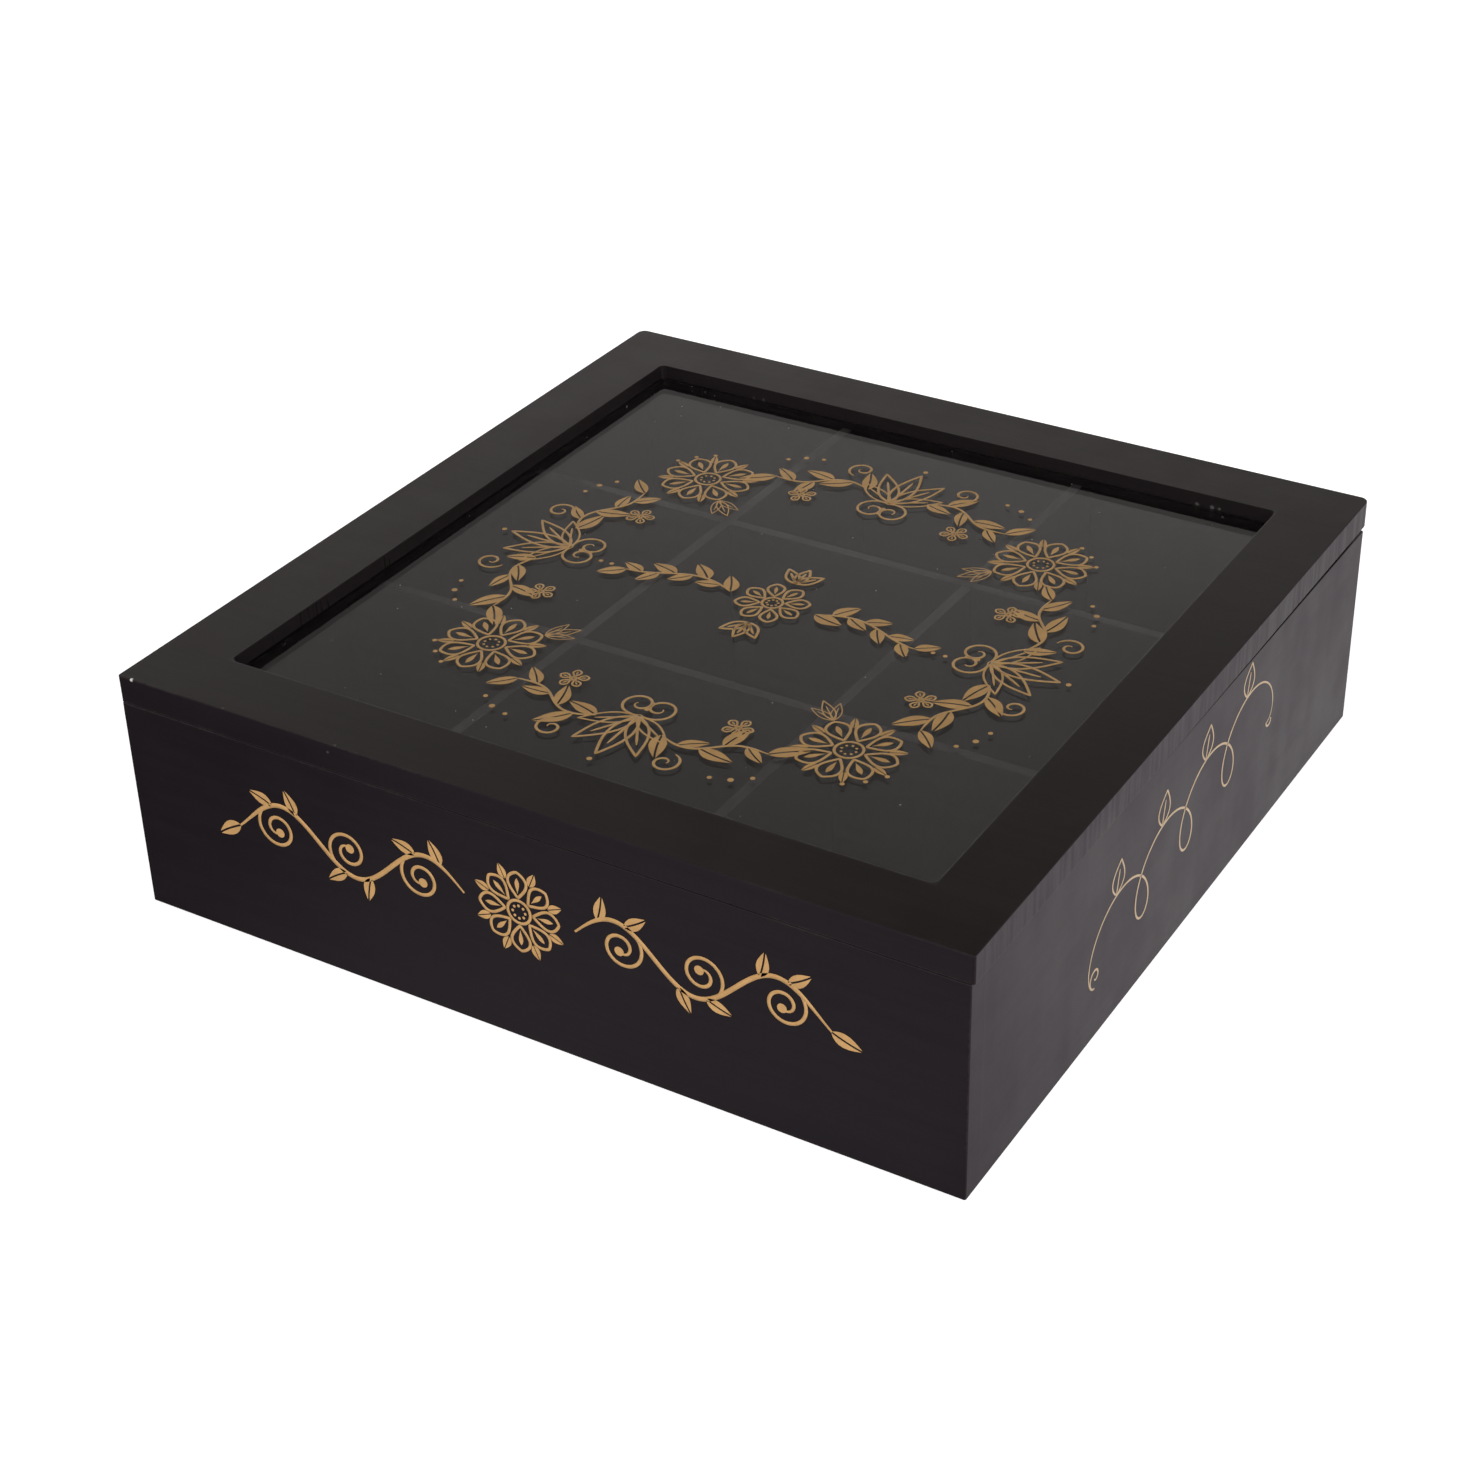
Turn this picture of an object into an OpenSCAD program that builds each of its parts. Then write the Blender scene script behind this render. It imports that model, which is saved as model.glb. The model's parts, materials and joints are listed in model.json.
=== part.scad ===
// Tea bag box: a low square wooden box with nine compartments under a hinged lid with a glass window.
// Millimetres. The origin is the middle of the underside, the front faces -Y, the lid opens about the back.

/* [Box] */
// Width of the box below the lid
box_w = 239.5; // [180:0.5:320]
// Depth of the box, front to back
box_d = 240; // [180:1:320]
// Height of the box below the lid
box_h = 60.7; // [50:0.1:100]
// Thickness of the four walls
wall_t = 7; // [7:0.5:10]
// Radius of the box's upright outer corners
box_corner_r = 0.5; // [0.5:0.1:3]
// Radius to which the outer edges of the box and the lid are sanded
arris_r = 0.25; // [0.15:0.05:0.25]
// Thickness of the bottom panel
bottom_t = 3; // [2:0.5:5]
// How far the bottom panel laps onto each wall
bottom_lap = 4; // [3:0.5:4.5]

/* [Dividers] */
// Thickness of the dividers
divider_t = 3; // [2.5:0.5:5]
// How far the divider tops lie below the top of the walls
divider_drop = 1; // [1:0.5:10]
// Depth of the grooves that hold the divider ends
groove_depth = 2; // [1.5:0.5:3]

/* [Lid] */
// Thickness of the lid board
lid_t = 7.8; // [7.8:0.1:12]
// How far the lid reaches past the box on the right
lid_over = 0.8; // [0:0.1:4]
// Radius of the lid's two front corners
lid_front_r = 0.6; // [0.5:0.1:8]
// Radius of the lid's two back corners
lid_back_r = 2.5; // [0.5:0.1:8]
// Width of the lid board's left and right sides beside the window
stile_w = 20; // [18:1:40]
// Width of the lid board's front and back sides beside the window
rail_w = 19.5; // [18:0.5:40]
// Radius of the window's corners
window_r = 1.8; // [1:0.1:5]
// Height of the lip above the glass
lip_t = 4; // [3:0.5:4.5]
// Thickness of the glass
glass_t = 2; // [1.5:0.5:3]
// Width of the rebate that holds the glass
rebate_w = 6; // [4:0.5:8]

/* [Hinges] */
// Distance of each hinge's middle from the side of the box
hinge_inset = 48; // [44:1:60]
// Length of a hinge along the back edge
leaf_len = 25; // [20:1:30]
// Thickness of a hinge leaf
leaf_t = 1; // [0.8:0.1:1.2]
// Diameter of the hinge barrel
barrel_d = 3.8; // [3.6:0.1:4]
// Diameter of the hinge pin
pin_d = 1.8; // [1.4:0.1:2]
// Distance of the pin's axis in front of the back faces, which sets where the open lid stops
pin_inset = 1.1; // [1:0.1:1.3]
// Gap left at the front edge under the closed lid
front_gap = 0.15; // [0.1:0.05:0.4]

/* [Fixings] */
// Diameter of the hinge screws
screw_d = 1.8; // [1.4:0.1:2]
// Diameter of the screw heads
screw_head_d = 3.2; // [2.8:0.1:3.2]
// Length of the hinge screws
screw_len = 6.4; // [4:0.2:7]
// Diameter of the brads in the corners and the bottom
brad_d = 1.2; // [1:0.1:1.4]
// Length of the corner brads
corner_brad_len = 20; // [14:1:26]
// Length of the bottom brads
bottom_brad_len = 12; // [8:1:18]
// Diameter of the pins in the glass strips
strip_pin_d = 0.8; // [0.6:0.1:0.9]
// Length of the pins in the glass strips
strip_pin_len = 10; // [9:0.5:12]

/* [Hidden] */
$fn = 48;

// Clearance on each side of a divider in its groove, and of two dividers where they cross
divider_fit = 0.1;
// Clearance all round the bottom panel
panel_fit = 0.15;
// Clearance of the glass and of the strips in the rebate
glass_fit = 0.5;
strip_fit = 0.1;
// Radial clearance of the pin in the barrel, of a fixing in its bore, and round the knuckles
pin_fit = 0.03;
bore_fit = 0.03;
knuckle_fit = 0.15;
// Distance between the two leaves of a closed hinge
leaf_gap = 0.4;
// Margin of a hinge leaf from the inner face of the wall
leaf_margin = 0.3;
// Number of knuckles in a barrel, and the gap between two of them
knuckles = 5;
knuckle_gap = 0.16;
// Depth the corner brads are punched below the face, then filled
brad_sunk = 0.6;
// Brad heads
brad_head_d = 2;
brad_head_t = 0.4;
// Length of the tapered point of a brad, pin or screw, and the radius it ends in
point_len = 1.5;
tip_r = 0.15;
// Heights of the corner brads as shares of the box's height
corner_brad_shares = [0.18, 0.5, 0.8];
// How far out the end ones of three brads lie, as a share of half the length they fix
brad_spread = 0.8;
// Distance of a hinge screw from the leaf's middle, as a share of its length
screw_spread = 0.32;
// Room at each end of the seat that the barrel lies in
gain_end_fit = 0.5;
// Cross slots in the screw heads
slot_w = 0.45;
slot_len = 1.9;
slot_deep = 0.45;
// A cutter starts this far outside the face it cuts
over = 1;

inner_w = box_w - 2 * wall_t;
inner_d = box_d - 2 * wall_t;
cell_w = (inner_w - 2 * divider_t) / 3;
cell_d = (inner_d - 2 * divider_t) / 3;
divider_x = (cell_w + divider_t) / 2;
divider_y = (cell_d + divider_t) / 2;
divider_top = box_h - divider_drop;
divider_h = divider_top - bottom_t;

hinge_x = box_w / 2 - hinge_inset;
hinge_gap = 2 * leaf_t + leaf_gap;
barrel_r = barrel_d / 2;
pin_y = box_d / 2 - pin_inset;
pin_z = box_h + hinge_gap / 2;
rest_tilt = asin((hinge_gap - front_gap) / (box_d - pin_inset));
barrel_gain_y = pin_y - barrel_r - knuckle_fit;
leaf_front_y = box_d / 2 - wall_t + leaf_margin;
screw_y = (leaf_front_y + barrel_gain_y) / 2;
screw_step = leaf_len * screw_spread;
knuckle_pitch = leaf_len / knuckles;

lid_w = box_w + lid_over;
lid_d = box_d;
lid_x = lid_over / 2;
lid_z = box_h + hinge_gap;
window_w = lid_w - 2 * stile_w;
window_d = lid_d - 2 * rail_w;
seat_w = window_w + 2 * rebate_w;
seat_d = window_d + 2 * rebate_w;
strip_t = lid_t - lip_t - glass_t;
strip_w = rebate_w - strip_fit;

corner_brad_z = [for (share = corner_brad_shares) share * box_h];
corner_brad_x = box_w / 2 - wall_t / 2;
bottom_brad_x = box_w / 2 - wall_t + bottom_lap / 2;
bottom_brad_y = box_d / 2 - wall_t + bottom_lap / 2;

// A rectangle about the origin with round corners
module round_rect(w, d, r) {
    square([w - 2 * r, d], center = true);
    square([w, d - 2 * r], center = true);
    for (sx = [-1, 1])
        for (sy = [-1, 1])
            translate([sx * (w / 2 - r), sy * (d / 2 - r)]) circle(r);
}

// A block about the Z axis that stands on the plane z
module block(w, d, h, z) {
    translate([-w / 2, -d / 2, z]) cube([w, d, h]);
}

// Half of an upright section that reaches out to +X, with its two outer edges rounded
module eased_half(reach, h) {
    translate([0, arris_r]) square([reach, h - 2 * arris_r]);
    square([reach - arris_r, h]);
    for (z = [arris_r, h - arris_r])
        translate([reach - arris_r, z]) circle(arris_r);
}

// A block with sanded upper and lower edges, standing on z = 0, whose upright corners are rounded
// to one radius at the front and to another at the back
module eased_block(w, d, h, front_r, back_r) {
    reach = max(front_r, back_r);
    block(w - 2 * reach, d - 2 * reach, h, 0);
    for (side = [0:3])
        rotate([0, 0, 90 * side]) {
            long = side % 2 == 0 ? d : w;
            wide = side % 2 == 0 ? w : d;
            r = side < 2 ? back_r : front_r;
            far_r = side == 1 || side == 2 ? back_r : front_r;
            translate([wide / 2 - r, long / 2 - r, 0])
                rotate_extrude(angle = 90) eased_half(r, h);
            translate([wide / 2 - reach, long / 2 - r, 0])
                rotate([90, 0, 0]) linear_extrude(long - r - far_r) eased_half(reach, h);
        }
}

// The whole outside of the box, from which each wall takes its share
module box_outside() {
    eased_block(box_w, box_d, box_h, box_corner_r, box_corner_r);
}

// A round rod bent into a rectangle with round corners
module rod_ring(w, d, r) {
    for (turn = [0, 90, 180, 270])
        rotate([0, 0, turn]) {
            long = turn % 180 == 0 ? d : w;
            wide = turn % 180 == 0 ? w : d;
            translate([wide / 2 - r, long / 2 - r, 0])
                rotate_extrude(angle = 90) translate([r, 0]) circle(arris_r);
            translate([wide / 2, long / 2 - r, 0])
                rotate([90, 0, 0]) cylinder(h = long - 2 * r, r = arris_r);
        }
}

// What the window takes out of a board whose top is at z = 0, with its upper edge sanded round
module window_cut() {
    grown_w = window_w + 2 * arris_r;
    grown_d = window_d + 2 * arris_r;
    grown_r = window_r + arris_r;
    translate([0, 0, -lid_t - over]) linear_extrude(lid_t + 2 * over) round_rect(window_w, window_d, window_r);
    translate([0, 0, -arris_r]) difference() {
        linear_extrude(arris_r + over) round_rect(grown_w, grown_d, grown_r);
        rod_ring(grown_w, grown_d, grown_r);
    }
}

// The shallow seat in the walls' lower inner edge that takes the bottom panel
module panel_seat() {
    lip = wall_t - bottom_lap;
    block(box_w - 2 * lip, box_d - 2 * lip, bottom_t + over, -over);
}

// Grooves in the front and back walls for the dividers that run front to back
module deep_grooves() {
    for (side = [-1, 1])
        translate([side * divider_x, 0, 0])
            block(divider_t + 2 * divider_fit, inner_d + 2 * groove_depth, box_h - bottom_t + over, bottom_t);
}

// Grooves in the side walls for the dividers that run across
module cross_grooves() {
    for (side = [-1, 1])
        translate([0, side * divider_y, 0])
            block(inner_w + 2 * groove_depth, divider_t + 2 * divider_fit, box_h - bottom_t + over, bottom_t);
}

// One brad along +Y with its head at the origin, made wider by fit for the hole that holds it
module brad(len, fit) {
    rotate([-90, 0, 0]) {
        translate([0, 0, -fit]) cylinder(h = brad_head_t + 2 * fit, r = brad_head_d / 2 + fit, $fn = 24);
        cylinder(h = len - point_len, r = brad_d / 2 + fit, $fn = 24);
        translate([0, 0, len - point_len])
            cylinder(h = point_len, r1 = brad_d / 2 + fit, r2 = tip_r + fit, $fn = 24);
    }
}

// The brads through the front and back walls into the ends of the side walls
module corner_brad_set(fit) {
    for (end = [0, 180])
        rotate([0, 0, end])
            for (side = [-1, 1])
                for (z = corner_brad_z)
                    translate([side * corner_brad_x, -box_d / 2 + brad_sunk, z]) brad(corner_brad_len, fit);
}

// The brads up through the edge of the bottom panel into the walls
module bottom_brad_set(fit) {
    for (step = [-1, 0, 1]) {
        for (side = [-1, 1]) {
            translate([step * brad_spread * inner_w / 2, side * bottom_brad_y, 0])
                rotate([90, 0, 0]) brad(bottom_brad_len, fit);
            translate([side * bottom_brad_x, step * brad_spread * inner_d / 2, 0])
                rotate([90, 0, 0]) brad(bottom_brad_len, fit);
        }
    }
}

// Repeats a thing at both hinges
module at_hinges() {
    for (side = [-1, 1])
        translate([side * hinge_x, 0, 0]) children();
}

// The seat let into the edge behind a hinge leaf so that the barrel can turn, about the pin's axis
module barrel_gain() {
    gain = barrel_r + knuckle_fit;
    translate([-leaf_len / 2 - gain_end_fit, -gain, -gain])
        cube([leaf_len + 2 * gain_end_fit, 2 * gain, 2 * gain]);
}

// The two bores for the screws of one leaf, pointing down from z = 0
module screw_bores(fit) {
    for (side = [-1, 1])
        translate([side * screw_step, screw_y, -screw_len - fit])
            cylinder(h = screw_len + fit + over, r = screw_d / 2 + fit, $fn = 24);
}

// The cone under a screw head, its top at z = 0
module head_cone(fit) {
    cone_h = (screw_head_d - screw_d) / 2;
    translate([0, 0, -cone_h])
        cylinder(h = cone_h, r1 = screw_d / 2 + fit, r2 = screw_head_d / 2 + fit, $fn = 32);
}

module head_cones(fit) {
    for (side = [-1, 1])
        translate([side * screw_step, screw_y, 0]) head_cone(fit);
}

// One countersunk screw, its flat top at z = 0
module screw() {
    shank = screw_len - point_len;
    difference() {
        union() {
            head_cone(0);
            translate([0, 0, -shank]) cylinder(h = shank, r = screw_d / 2, $fn = 24);
            translate([0, 0, -screw_len])
                cylinder(h = point_len, r1 = tip_r, r2 = screw_d / 2, $fn = 24);
        }
        for (turn = [0, 90])
            rotate([0, 0, turn]) block(slot_len, slot_w, slot_deep + over, -slot_deep);
    }
}

// Two screws of one leaf, their tops at z = 0
module screw_pair() {
    for (side = [-1, 1])
        translate([side * screw_step, screw_y, 0]) screw();
}

// What the hinge on the box side takes out of the back wall
module wall_hinge_cuts() {
    at_hinges() {
        translate([0, pin_y, pin_z]) barrel_gain();
        translate([0, 0, box_h + leaf_t]) {
            screw_bores(bore_fit);
            head_cones(bore_fit);
        }
    }
}

// Knuckles of one leaf about the X axis: every second one, starting with the given one
module knuckle_set(first, r, grow) {
    for (k = [first : 2 : knuckles - 1])
        translate([-leaf_len / 2 + k * knuckle_pitch + knuckle_gap / 2 - grow, 0, 0])
            rotate([0, 90, 0]) cylinder(h = knuckle_pitch - knuckle_gap + 2 * grow, r = r);
}

// A leaf with its knuckles about the pin's axis, lying below the axis and reaching forward
module leaf(first) {
    other = 1 - first;
    reach = pin_y - leaf_front_y;
    difference() {
        union() {
            difference() {
                translate([-leaf_len / 2, -reach, -leaf_gap / 2 - leaf_t]) cube([leaf_len, reach, leaf_t]);
                knuckle_set(other, barrel_r + knuckle_fit, knuckle_gap);
            }
            knuckle_set(first, barrel_r, 0);
        }
        rotate([0, 90, 0]) cylinder(h = leaf_len + 2 * over, r = pin_d / 2 + pin_fit, center = true);
        translate([0, -pin_y, -leaf_gap / 2]) {
            screw_bores(bore_fit);
            head_cones(bore_fit);
        }
    }
}

// A leaf turned over about the pin's axis for the lid side
module lid_leaf(side) {
    translate([side * hinge_x, pin_y, pin_z]) mirror([0, 0, 1]) leaf(1);
}

module box_leaf(side) {
    translate([side * hinge_x, pin_y, pin_z]) leaf(0);
}

module hinge_pin(side) {
    translate([side * hinge_x, pin_y, pin_z])
        rotate([0, 90, 0]) cylinder(h = leaf_len - knuckle_gap, r = pin_d / 2, center = true);
}

// Turns the lid's parts from level to the slightly sloping way the closed lid rests
module on_lid() {
    translate([0, pin_y, pin_z]) rotate([rest_tilt, 0, 0]) translate([0, -pin_y, -pin_z]) children();
}

// A glass strip along X with its middle at the origin, seen as it lies against the front of the rebate
module strip_bar(len) {
    translate([-len / 2, 0, 0]) cube([len, strip_w, strip_t]);
}

// Pins of one strip, from the strip's inner edge outward into the board, along -Y
module strip_pin_row(len, fit) {
    for (step = [-1, 0, 1])
        translate([step * brad_spread * len / 2, strip_w, strip_t / 2])
            rotate([90, 0, 0]) {
                translate([0, 0, -fit])
                    cylinder(h = strip_pin_len - point_len + fit, r = strip_pin_d / 2 + fit, $fn = 24);
                translate([0, 0, strip_pin_len - point_len])
                    cylinder(h = point_len, r1 = strip_pin_d / 2 + fit, r2 = tip_r + fit, $fn = 24);
            }
}

// Puts a strip or its pins at one side of the rebate: 0 front, 90 right, 180 back, 270 left
module at_strip(turn) {
    half = (turn % 180 == 0 ? seat_d : seat_w) / 2;
    translate([lid_x, 0, lid_z]) rotate([0, 0, turn]) translate([0, -half + strip_fit, 0]) children();
}

long_strip = seat_w - 2 * strip_fit;
short_strip = seat_d - 2 * rebate_w;

function strip_len(turn) = turn % 180 == 0 ? long_strip : short_strip;

module glass_strip(turn) {
    on_lid() at_strip(turn) difference() {
        strip_bar(strip_len(turn));
        strip_pin_row(strip_len(turn), bore_fit);
    }
}

module bottom_panel() {
    lip = wall_t - bottom_lap + panel_fit;
    color("peru") difference() {
        block(box_w - 2 * lip, box_d - 2 * lip, bottom_t, 0);
        bottom_brad_set(bore_fit);
    }
}

// A front or back wall with every cut that both share
module long_wall(side) {
    difference() {
        intersection() {
            box_outside();
            translate([0, side * (box_d - wall_t) / 2, 0]) block(box_w, wall_t, box_h, 0);
        }
        panel_seat();
        deep_grooves();
        corner_brad_set(bore_fit);
        bottom_brad_set(bore_fit);
    }
}

module front_wall() {
    color("dimgray") long_wall(-1);
}

module back_wall() {
    color("dimgray") difference() {
        long_wall(1);
        wall_hinge_cuts();
    }
}

// A side wall between the front and back walls
module side_wall(side) {
    color("dimgray") difference() {
        intersection() {
            box_outside();
            translate([side * (box_w - wall_t) / 2, 0, 0]) block(wall_t, inner_d, box_h, 0);
        }
        panel_seat();
        cross_grooves();
        corner_brad_set(bore_fit);
        bottom_brad_set(bore_fit);
    }
}

module left_wall() {
    side_wall(-1);
}

module right_wall() {
    side_wall(1);
}

// A divider along Y, slotted from above where the cross dividers pass
module deep_divider(side) {
    len = inner_d + 2 * (groove_depth - divider_fit);
    color("saddlebrown") translate([side * divider_x, 0, 0]) difference() {
        block(divider_t, len, divider_h, bottom_t);
        for (cross = [-1, 1])
            translate([0, cross * divider_y, 0])
                block(divider_t + 2 * over, divider_t + 2 * divider_fit, divider_h / 2 + over,
                      bottom_t + divider_h / 2 - divider_fit);
    }
}

// A divider along X, slotted from below to sit over the others
module cross_divider(side) {
    len = inner_w + 2 * (groove_depth - divider_fit);
    color("sienna") translate([0, side * divider_y, 0]) difference() {
        block(len, divider_t, divider_h, bottom_t);
        for (deep = [-1, 1])
            translate([deep * divider_x, 0, 0])
                block(divider_t + 2 * divider_fit, divider_t + 2 * over, divider_h / 2 + over + divider_fit,
                      bottom_t - over);
    }
}

module left_divider() {
    deep_divider(-1);
}

module right_divider() {
    deep_divider(1);
}

module front_divider() {
    cross_divider(-1);
}

module back_divider() {
    cross_divider(1);
}

module corner_brads() {
    color("silver") corner_brad_set(0);
}

module bottom_brads() {
    color("silver") bottom_brad_set(0);
}

module left_hinge_box_leaf() {
    color("gold") box_leaf(-1);
}

module right_hinge_box_leaf() {
    color("gold") box_leaf(1);
}

module left_hinge_pin() {
    color("goldenrod") hinge_pin(-1);
}

module right_hinge_pin() {
    color("goldenrod") hinge_pin(1);
}

module box_screws() {
    color("khaki") at_hinges() translate([0, 0, box_h + leaf_t]) screw_pair();
}

module lid_board() {
    color("dimgray") on_lid() difference() {
        translate([lid_x, 0, lid_z]) difference() {
            eased_block(lid_w, lid_d, lid_t, lid_front_r, lid_back_r);
            translate([0, 0, lid_t]) window_cut();
            block(seat_w, seat_d, lid_t - lip_t + over, -over);
        }
        for (turn = [0, 90, 180, 270])
            at_strip(turn) strip_pin_row(strip_len(turn), bore_fit);
        at_hinges() {
            translate([0, pin_y, pin_z]) barrel_gain();
            translate([0, 0, lid_z - leaf_t]) mirror([0, 0, 1]) {
                screw_bores(bore_fit);
                head_cones(bore_fit);
            }
        }
    }
}

module glass_pane() {
    color("lightsteelblue", 0.5) on_lid()
        translate([lid_x, 0, 0])
            block(seat_w - 2 * glass_fit, seat_d - 2 * glass_fit, glass_t, lid_z + strip_t);
}

module front_strip() {
    color("burlywood") glass_strip(0);
}

module right_strip() {
    color("burlywood") glass_strip(90);
}

module back_strip() {
    color("burlywood") glass_strip(180);
}

module left_strip() {
    color("burlywood") glass_strip(270);
}

module strip_pins() {
    color("silver") on_lid()
        for (turn = [0, 90, 180, 270])
            at_strip(turn) strip_pin_row(strip_len(turn), 0);
}

module left_hinge_lid_leaf() {
    color("gold") on_lid() lid_leaf(-1);
}

module right_hinge_lid_leaf() {
    color("gold") on_lid() lid_leaf(1);
}

module lid_screws() {
    color("khaki") on_lid() at_hinges() translate([0, 0, lid_z - leaf_t]) mirror([0, 0, 1]) screw_pair();
}

bottom_panel();
front_wall();
back_wall();
left_wall();
right_wall();
left_divider();
right_divider();
front_divider();
back_divider();
corner_brads();
bottom_brads();
left_hinge_box_leaf();
right_hinge_box_leaf();
left_hinge_pin();
right_hinge_pin();
box_screws();
lid_board();
glass_pane();
front_strip();
back_strip();
left_strip();
right_strip();
strip_pins();
left_hinge_lid_leaf();
right_hinge_lid_leaf();
lid_screws();
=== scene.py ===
"""The looks of the hinged tea bag box: satin black paint, a glass window and printed gold ornament."""

import json
import math

import bmesh
import bpy
from mathutils import Euler, Matrix, Vector


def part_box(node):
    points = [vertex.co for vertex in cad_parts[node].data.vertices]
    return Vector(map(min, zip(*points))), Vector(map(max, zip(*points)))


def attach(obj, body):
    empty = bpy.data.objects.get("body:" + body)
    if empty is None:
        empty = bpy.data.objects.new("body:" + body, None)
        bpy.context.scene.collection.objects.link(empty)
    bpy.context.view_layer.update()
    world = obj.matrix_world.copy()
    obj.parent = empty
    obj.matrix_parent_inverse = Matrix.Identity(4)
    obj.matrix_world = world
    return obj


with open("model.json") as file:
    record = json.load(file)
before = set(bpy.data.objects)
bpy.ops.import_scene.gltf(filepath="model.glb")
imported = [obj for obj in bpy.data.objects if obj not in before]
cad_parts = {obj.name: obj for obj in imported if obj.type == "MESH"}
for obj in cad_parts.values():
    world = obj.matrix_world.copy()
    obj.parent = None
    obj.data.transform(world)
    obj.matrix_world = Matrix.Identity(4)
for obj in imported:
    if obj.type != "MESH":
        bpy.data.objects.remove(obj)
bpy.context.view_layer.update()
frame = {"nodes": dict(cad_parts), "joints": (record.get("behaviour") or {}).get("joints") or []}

MM = 0.001
nodes = frame["nodes"]
pin = Vector(frame["joints"][0]["pos_m"])


# Small helpers for node trees

def put(tree, kind, feeds=None, **settings):
    """Adds a node, sets its properties, and feeds its sockets with values or with other sockets."""
    made = tree.nodes.new(kind)
    for name, value in settings.items():
        setattr(made, name, value)
    for socket, value in (feeds or {}).items():
        if isinstance(value, bpy.types.NodeSocket):
            tree.links.new(value, made.inputs[socket])
        else:
            made.inputs[socket].default_value = value
    return made


def calc(tree, operation, *terms):
    """The result of one sum on numbers."""
    return put(tree, "ShaderNodeMath", dict(enumerate(terms)), operation=operation).outputs[0]


def calc_vector(tree, operation, *terms):
    """The result of one sum on vectors."""
    made = put(tree, "ShaderNodeVectorMath", dict(enumerate(terms)), operation=operation)
    return made.outputs["Vector"]


def split(tree, vector):
    """The X, Y and Z of a vector."""
    return put(tree, "ShaderNodeSeparateXYZ", {0: vector}).outputs


def ramp(tree, value, start, end, low=0.0, high=1.0, smooth=True):
    """Carries a value from one range to another and holds it at both ends."""
    feeds = {"Value": value, "From Min": start, "From Max": end, "To Min": low, "To Max": high}
    kind = "SMOOTHSTEP" if smooth else "LINEAR"
    return put(tree, "ShaderNodeMapRange", feeds, interpolation_type=kind).outputs["Result"]


def blend_colours(tree, share, first, second):
    """A colour between two others."""
    made = put(tree, "ShaderNodeMix", data_type="RGBA")
    for index, value in ((0, share), (6, first), (7, second)):
        if isinstance(value, bpy.types.NodeSocket):
            tree.links.new(value, made.inputs[index])
        else:
            made.inputs[index].default_value = value
    return made.outputs[2]


def noise(tree, place, scale, detail=3.0, roughness=0.5):
    """Noise from 0 to 1 in metres: its features are about 1/scale across."""
    feeds = {"Vector": place, "Scale": scale, "Detail": detail, "Roughness": roughness}
    return put(tree, "ShaderNodeTexNoise", feeds).outputs["Fac"]


def new_group(name, kind, takes, gives):
    """An empty node group with named sockets, its input node and its output node."""
    tree = bpy.data.node_groups.new(name, kind)
    for label, (socket_type, value) in takes.items():
        socket = tree.interface.new_socket(label, in_out="INPUT", socket_type=socket_type)
        if value is not None:
            socket.default_value = value
    for label, socket_type in gives.items():
        tree.interface.new_socket(label, in_out="OUTPUT", socket_type=socket_type)
    return tree, tree.nodes.new("NodeGroupInput").outputs, tree.nodes.new("NodeGroupOutput")


def use(tree, group, **feeds):
    """Places a group in a tree: a socket called Film width is fed as Film_width."""
    kind = "ShaderNodeGroup" if tree.bl_idname == "ShaderNodeTree" else "GeometryNodeGroup"
    named = {label.replace("_", " "): value for label, value in feeds.items()}
    made = tree.nodes.new(kind)
    made.node_tree = group
    for label, value in named.items():
        if isinstance(value, bpy.types.NodeSocket):
            tree.links.new(value, made.inputs[label])
        else:
            made.inputs[label].default_value = value
    return made.outputs


FLOAT = "NodeSocketFloat"
VECTOR = "NodeSocketVector"
GEOMETRY = "NodeSocketGeometry"
INTEGER = "NodeSocketInt"
MATERIAL = "NodeSocketMaterial"


# How the closed lid lies

def lid_slope():
    """The angle at which the closed lid slopes down to the front, read off the glass."""
    corners = [v.co for v in nodes["glass_pane"].data.vertices]
    front = max((c for c in corners if c.y < 0), key=lambda c: c.z)
    back = max((c for c in corners if c.y > 0), key=lambda c: c.z)
    return math.atan2(back.z - front.z, back.y - front.y)


slope = lid_slope()
level_to_closed = Matrix.Translation(pin) @ Matrix.Rotation(slope, 4, "X") @ Matrix.Translation(-pin)
closed_to_level = level_to_closed.inverted()


# Effects that several materials share

def arris_group():
    """How far a point of a block is from the block's nearest edge."""
    takes = {"Place": (VECTOR, None), "Middle": (VECTOR, None), "Half": (VECTOR, None)}
    tree, taken, given = new_group("arris distance", "ShaderNodeTree", takes, {"Distance": FLOAT})
    away = calc_vector(tree, "ABSOLUTE", calc_vector(tree, "SUBTRACT", taken["Place"], taken["Middle"]))
    depth = calc_vector(tree, "SUBTRACT", taken["Half"], away)
    x, y, z = split(tree, depth)
    lower = calc(tree, "MINIMUM", x, y)
    upper = calc(tree, "MAXIMUM", x, y)
    second = calc(tree, "MAXIMUM", lower, calc(tree, "MINIMUM", upper, z))
    tree.links.new(second, given.inputs["Distance"])
    return tree


# Noise scales of the paint, in features to the metre
GRAIN_SCALE = 420.0
MOTTLE_SCALE = 55.0
PEEL_SCALE = 1300.0
RAGGED_SCALE = 700.0
WORN_PATCH_SCALE = 38.0
# The outermost strip of a board's faces, where a painted highlight stands in for the light that the edge
# catches
EDGE_HIGHLIGHT_STRIP = (0.1 * MM, 0.45 * MM)
# A small cell of the glass holds a speck of dust where its random draw is past these values
SPECKED = (0.975, 0.99)


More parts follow.
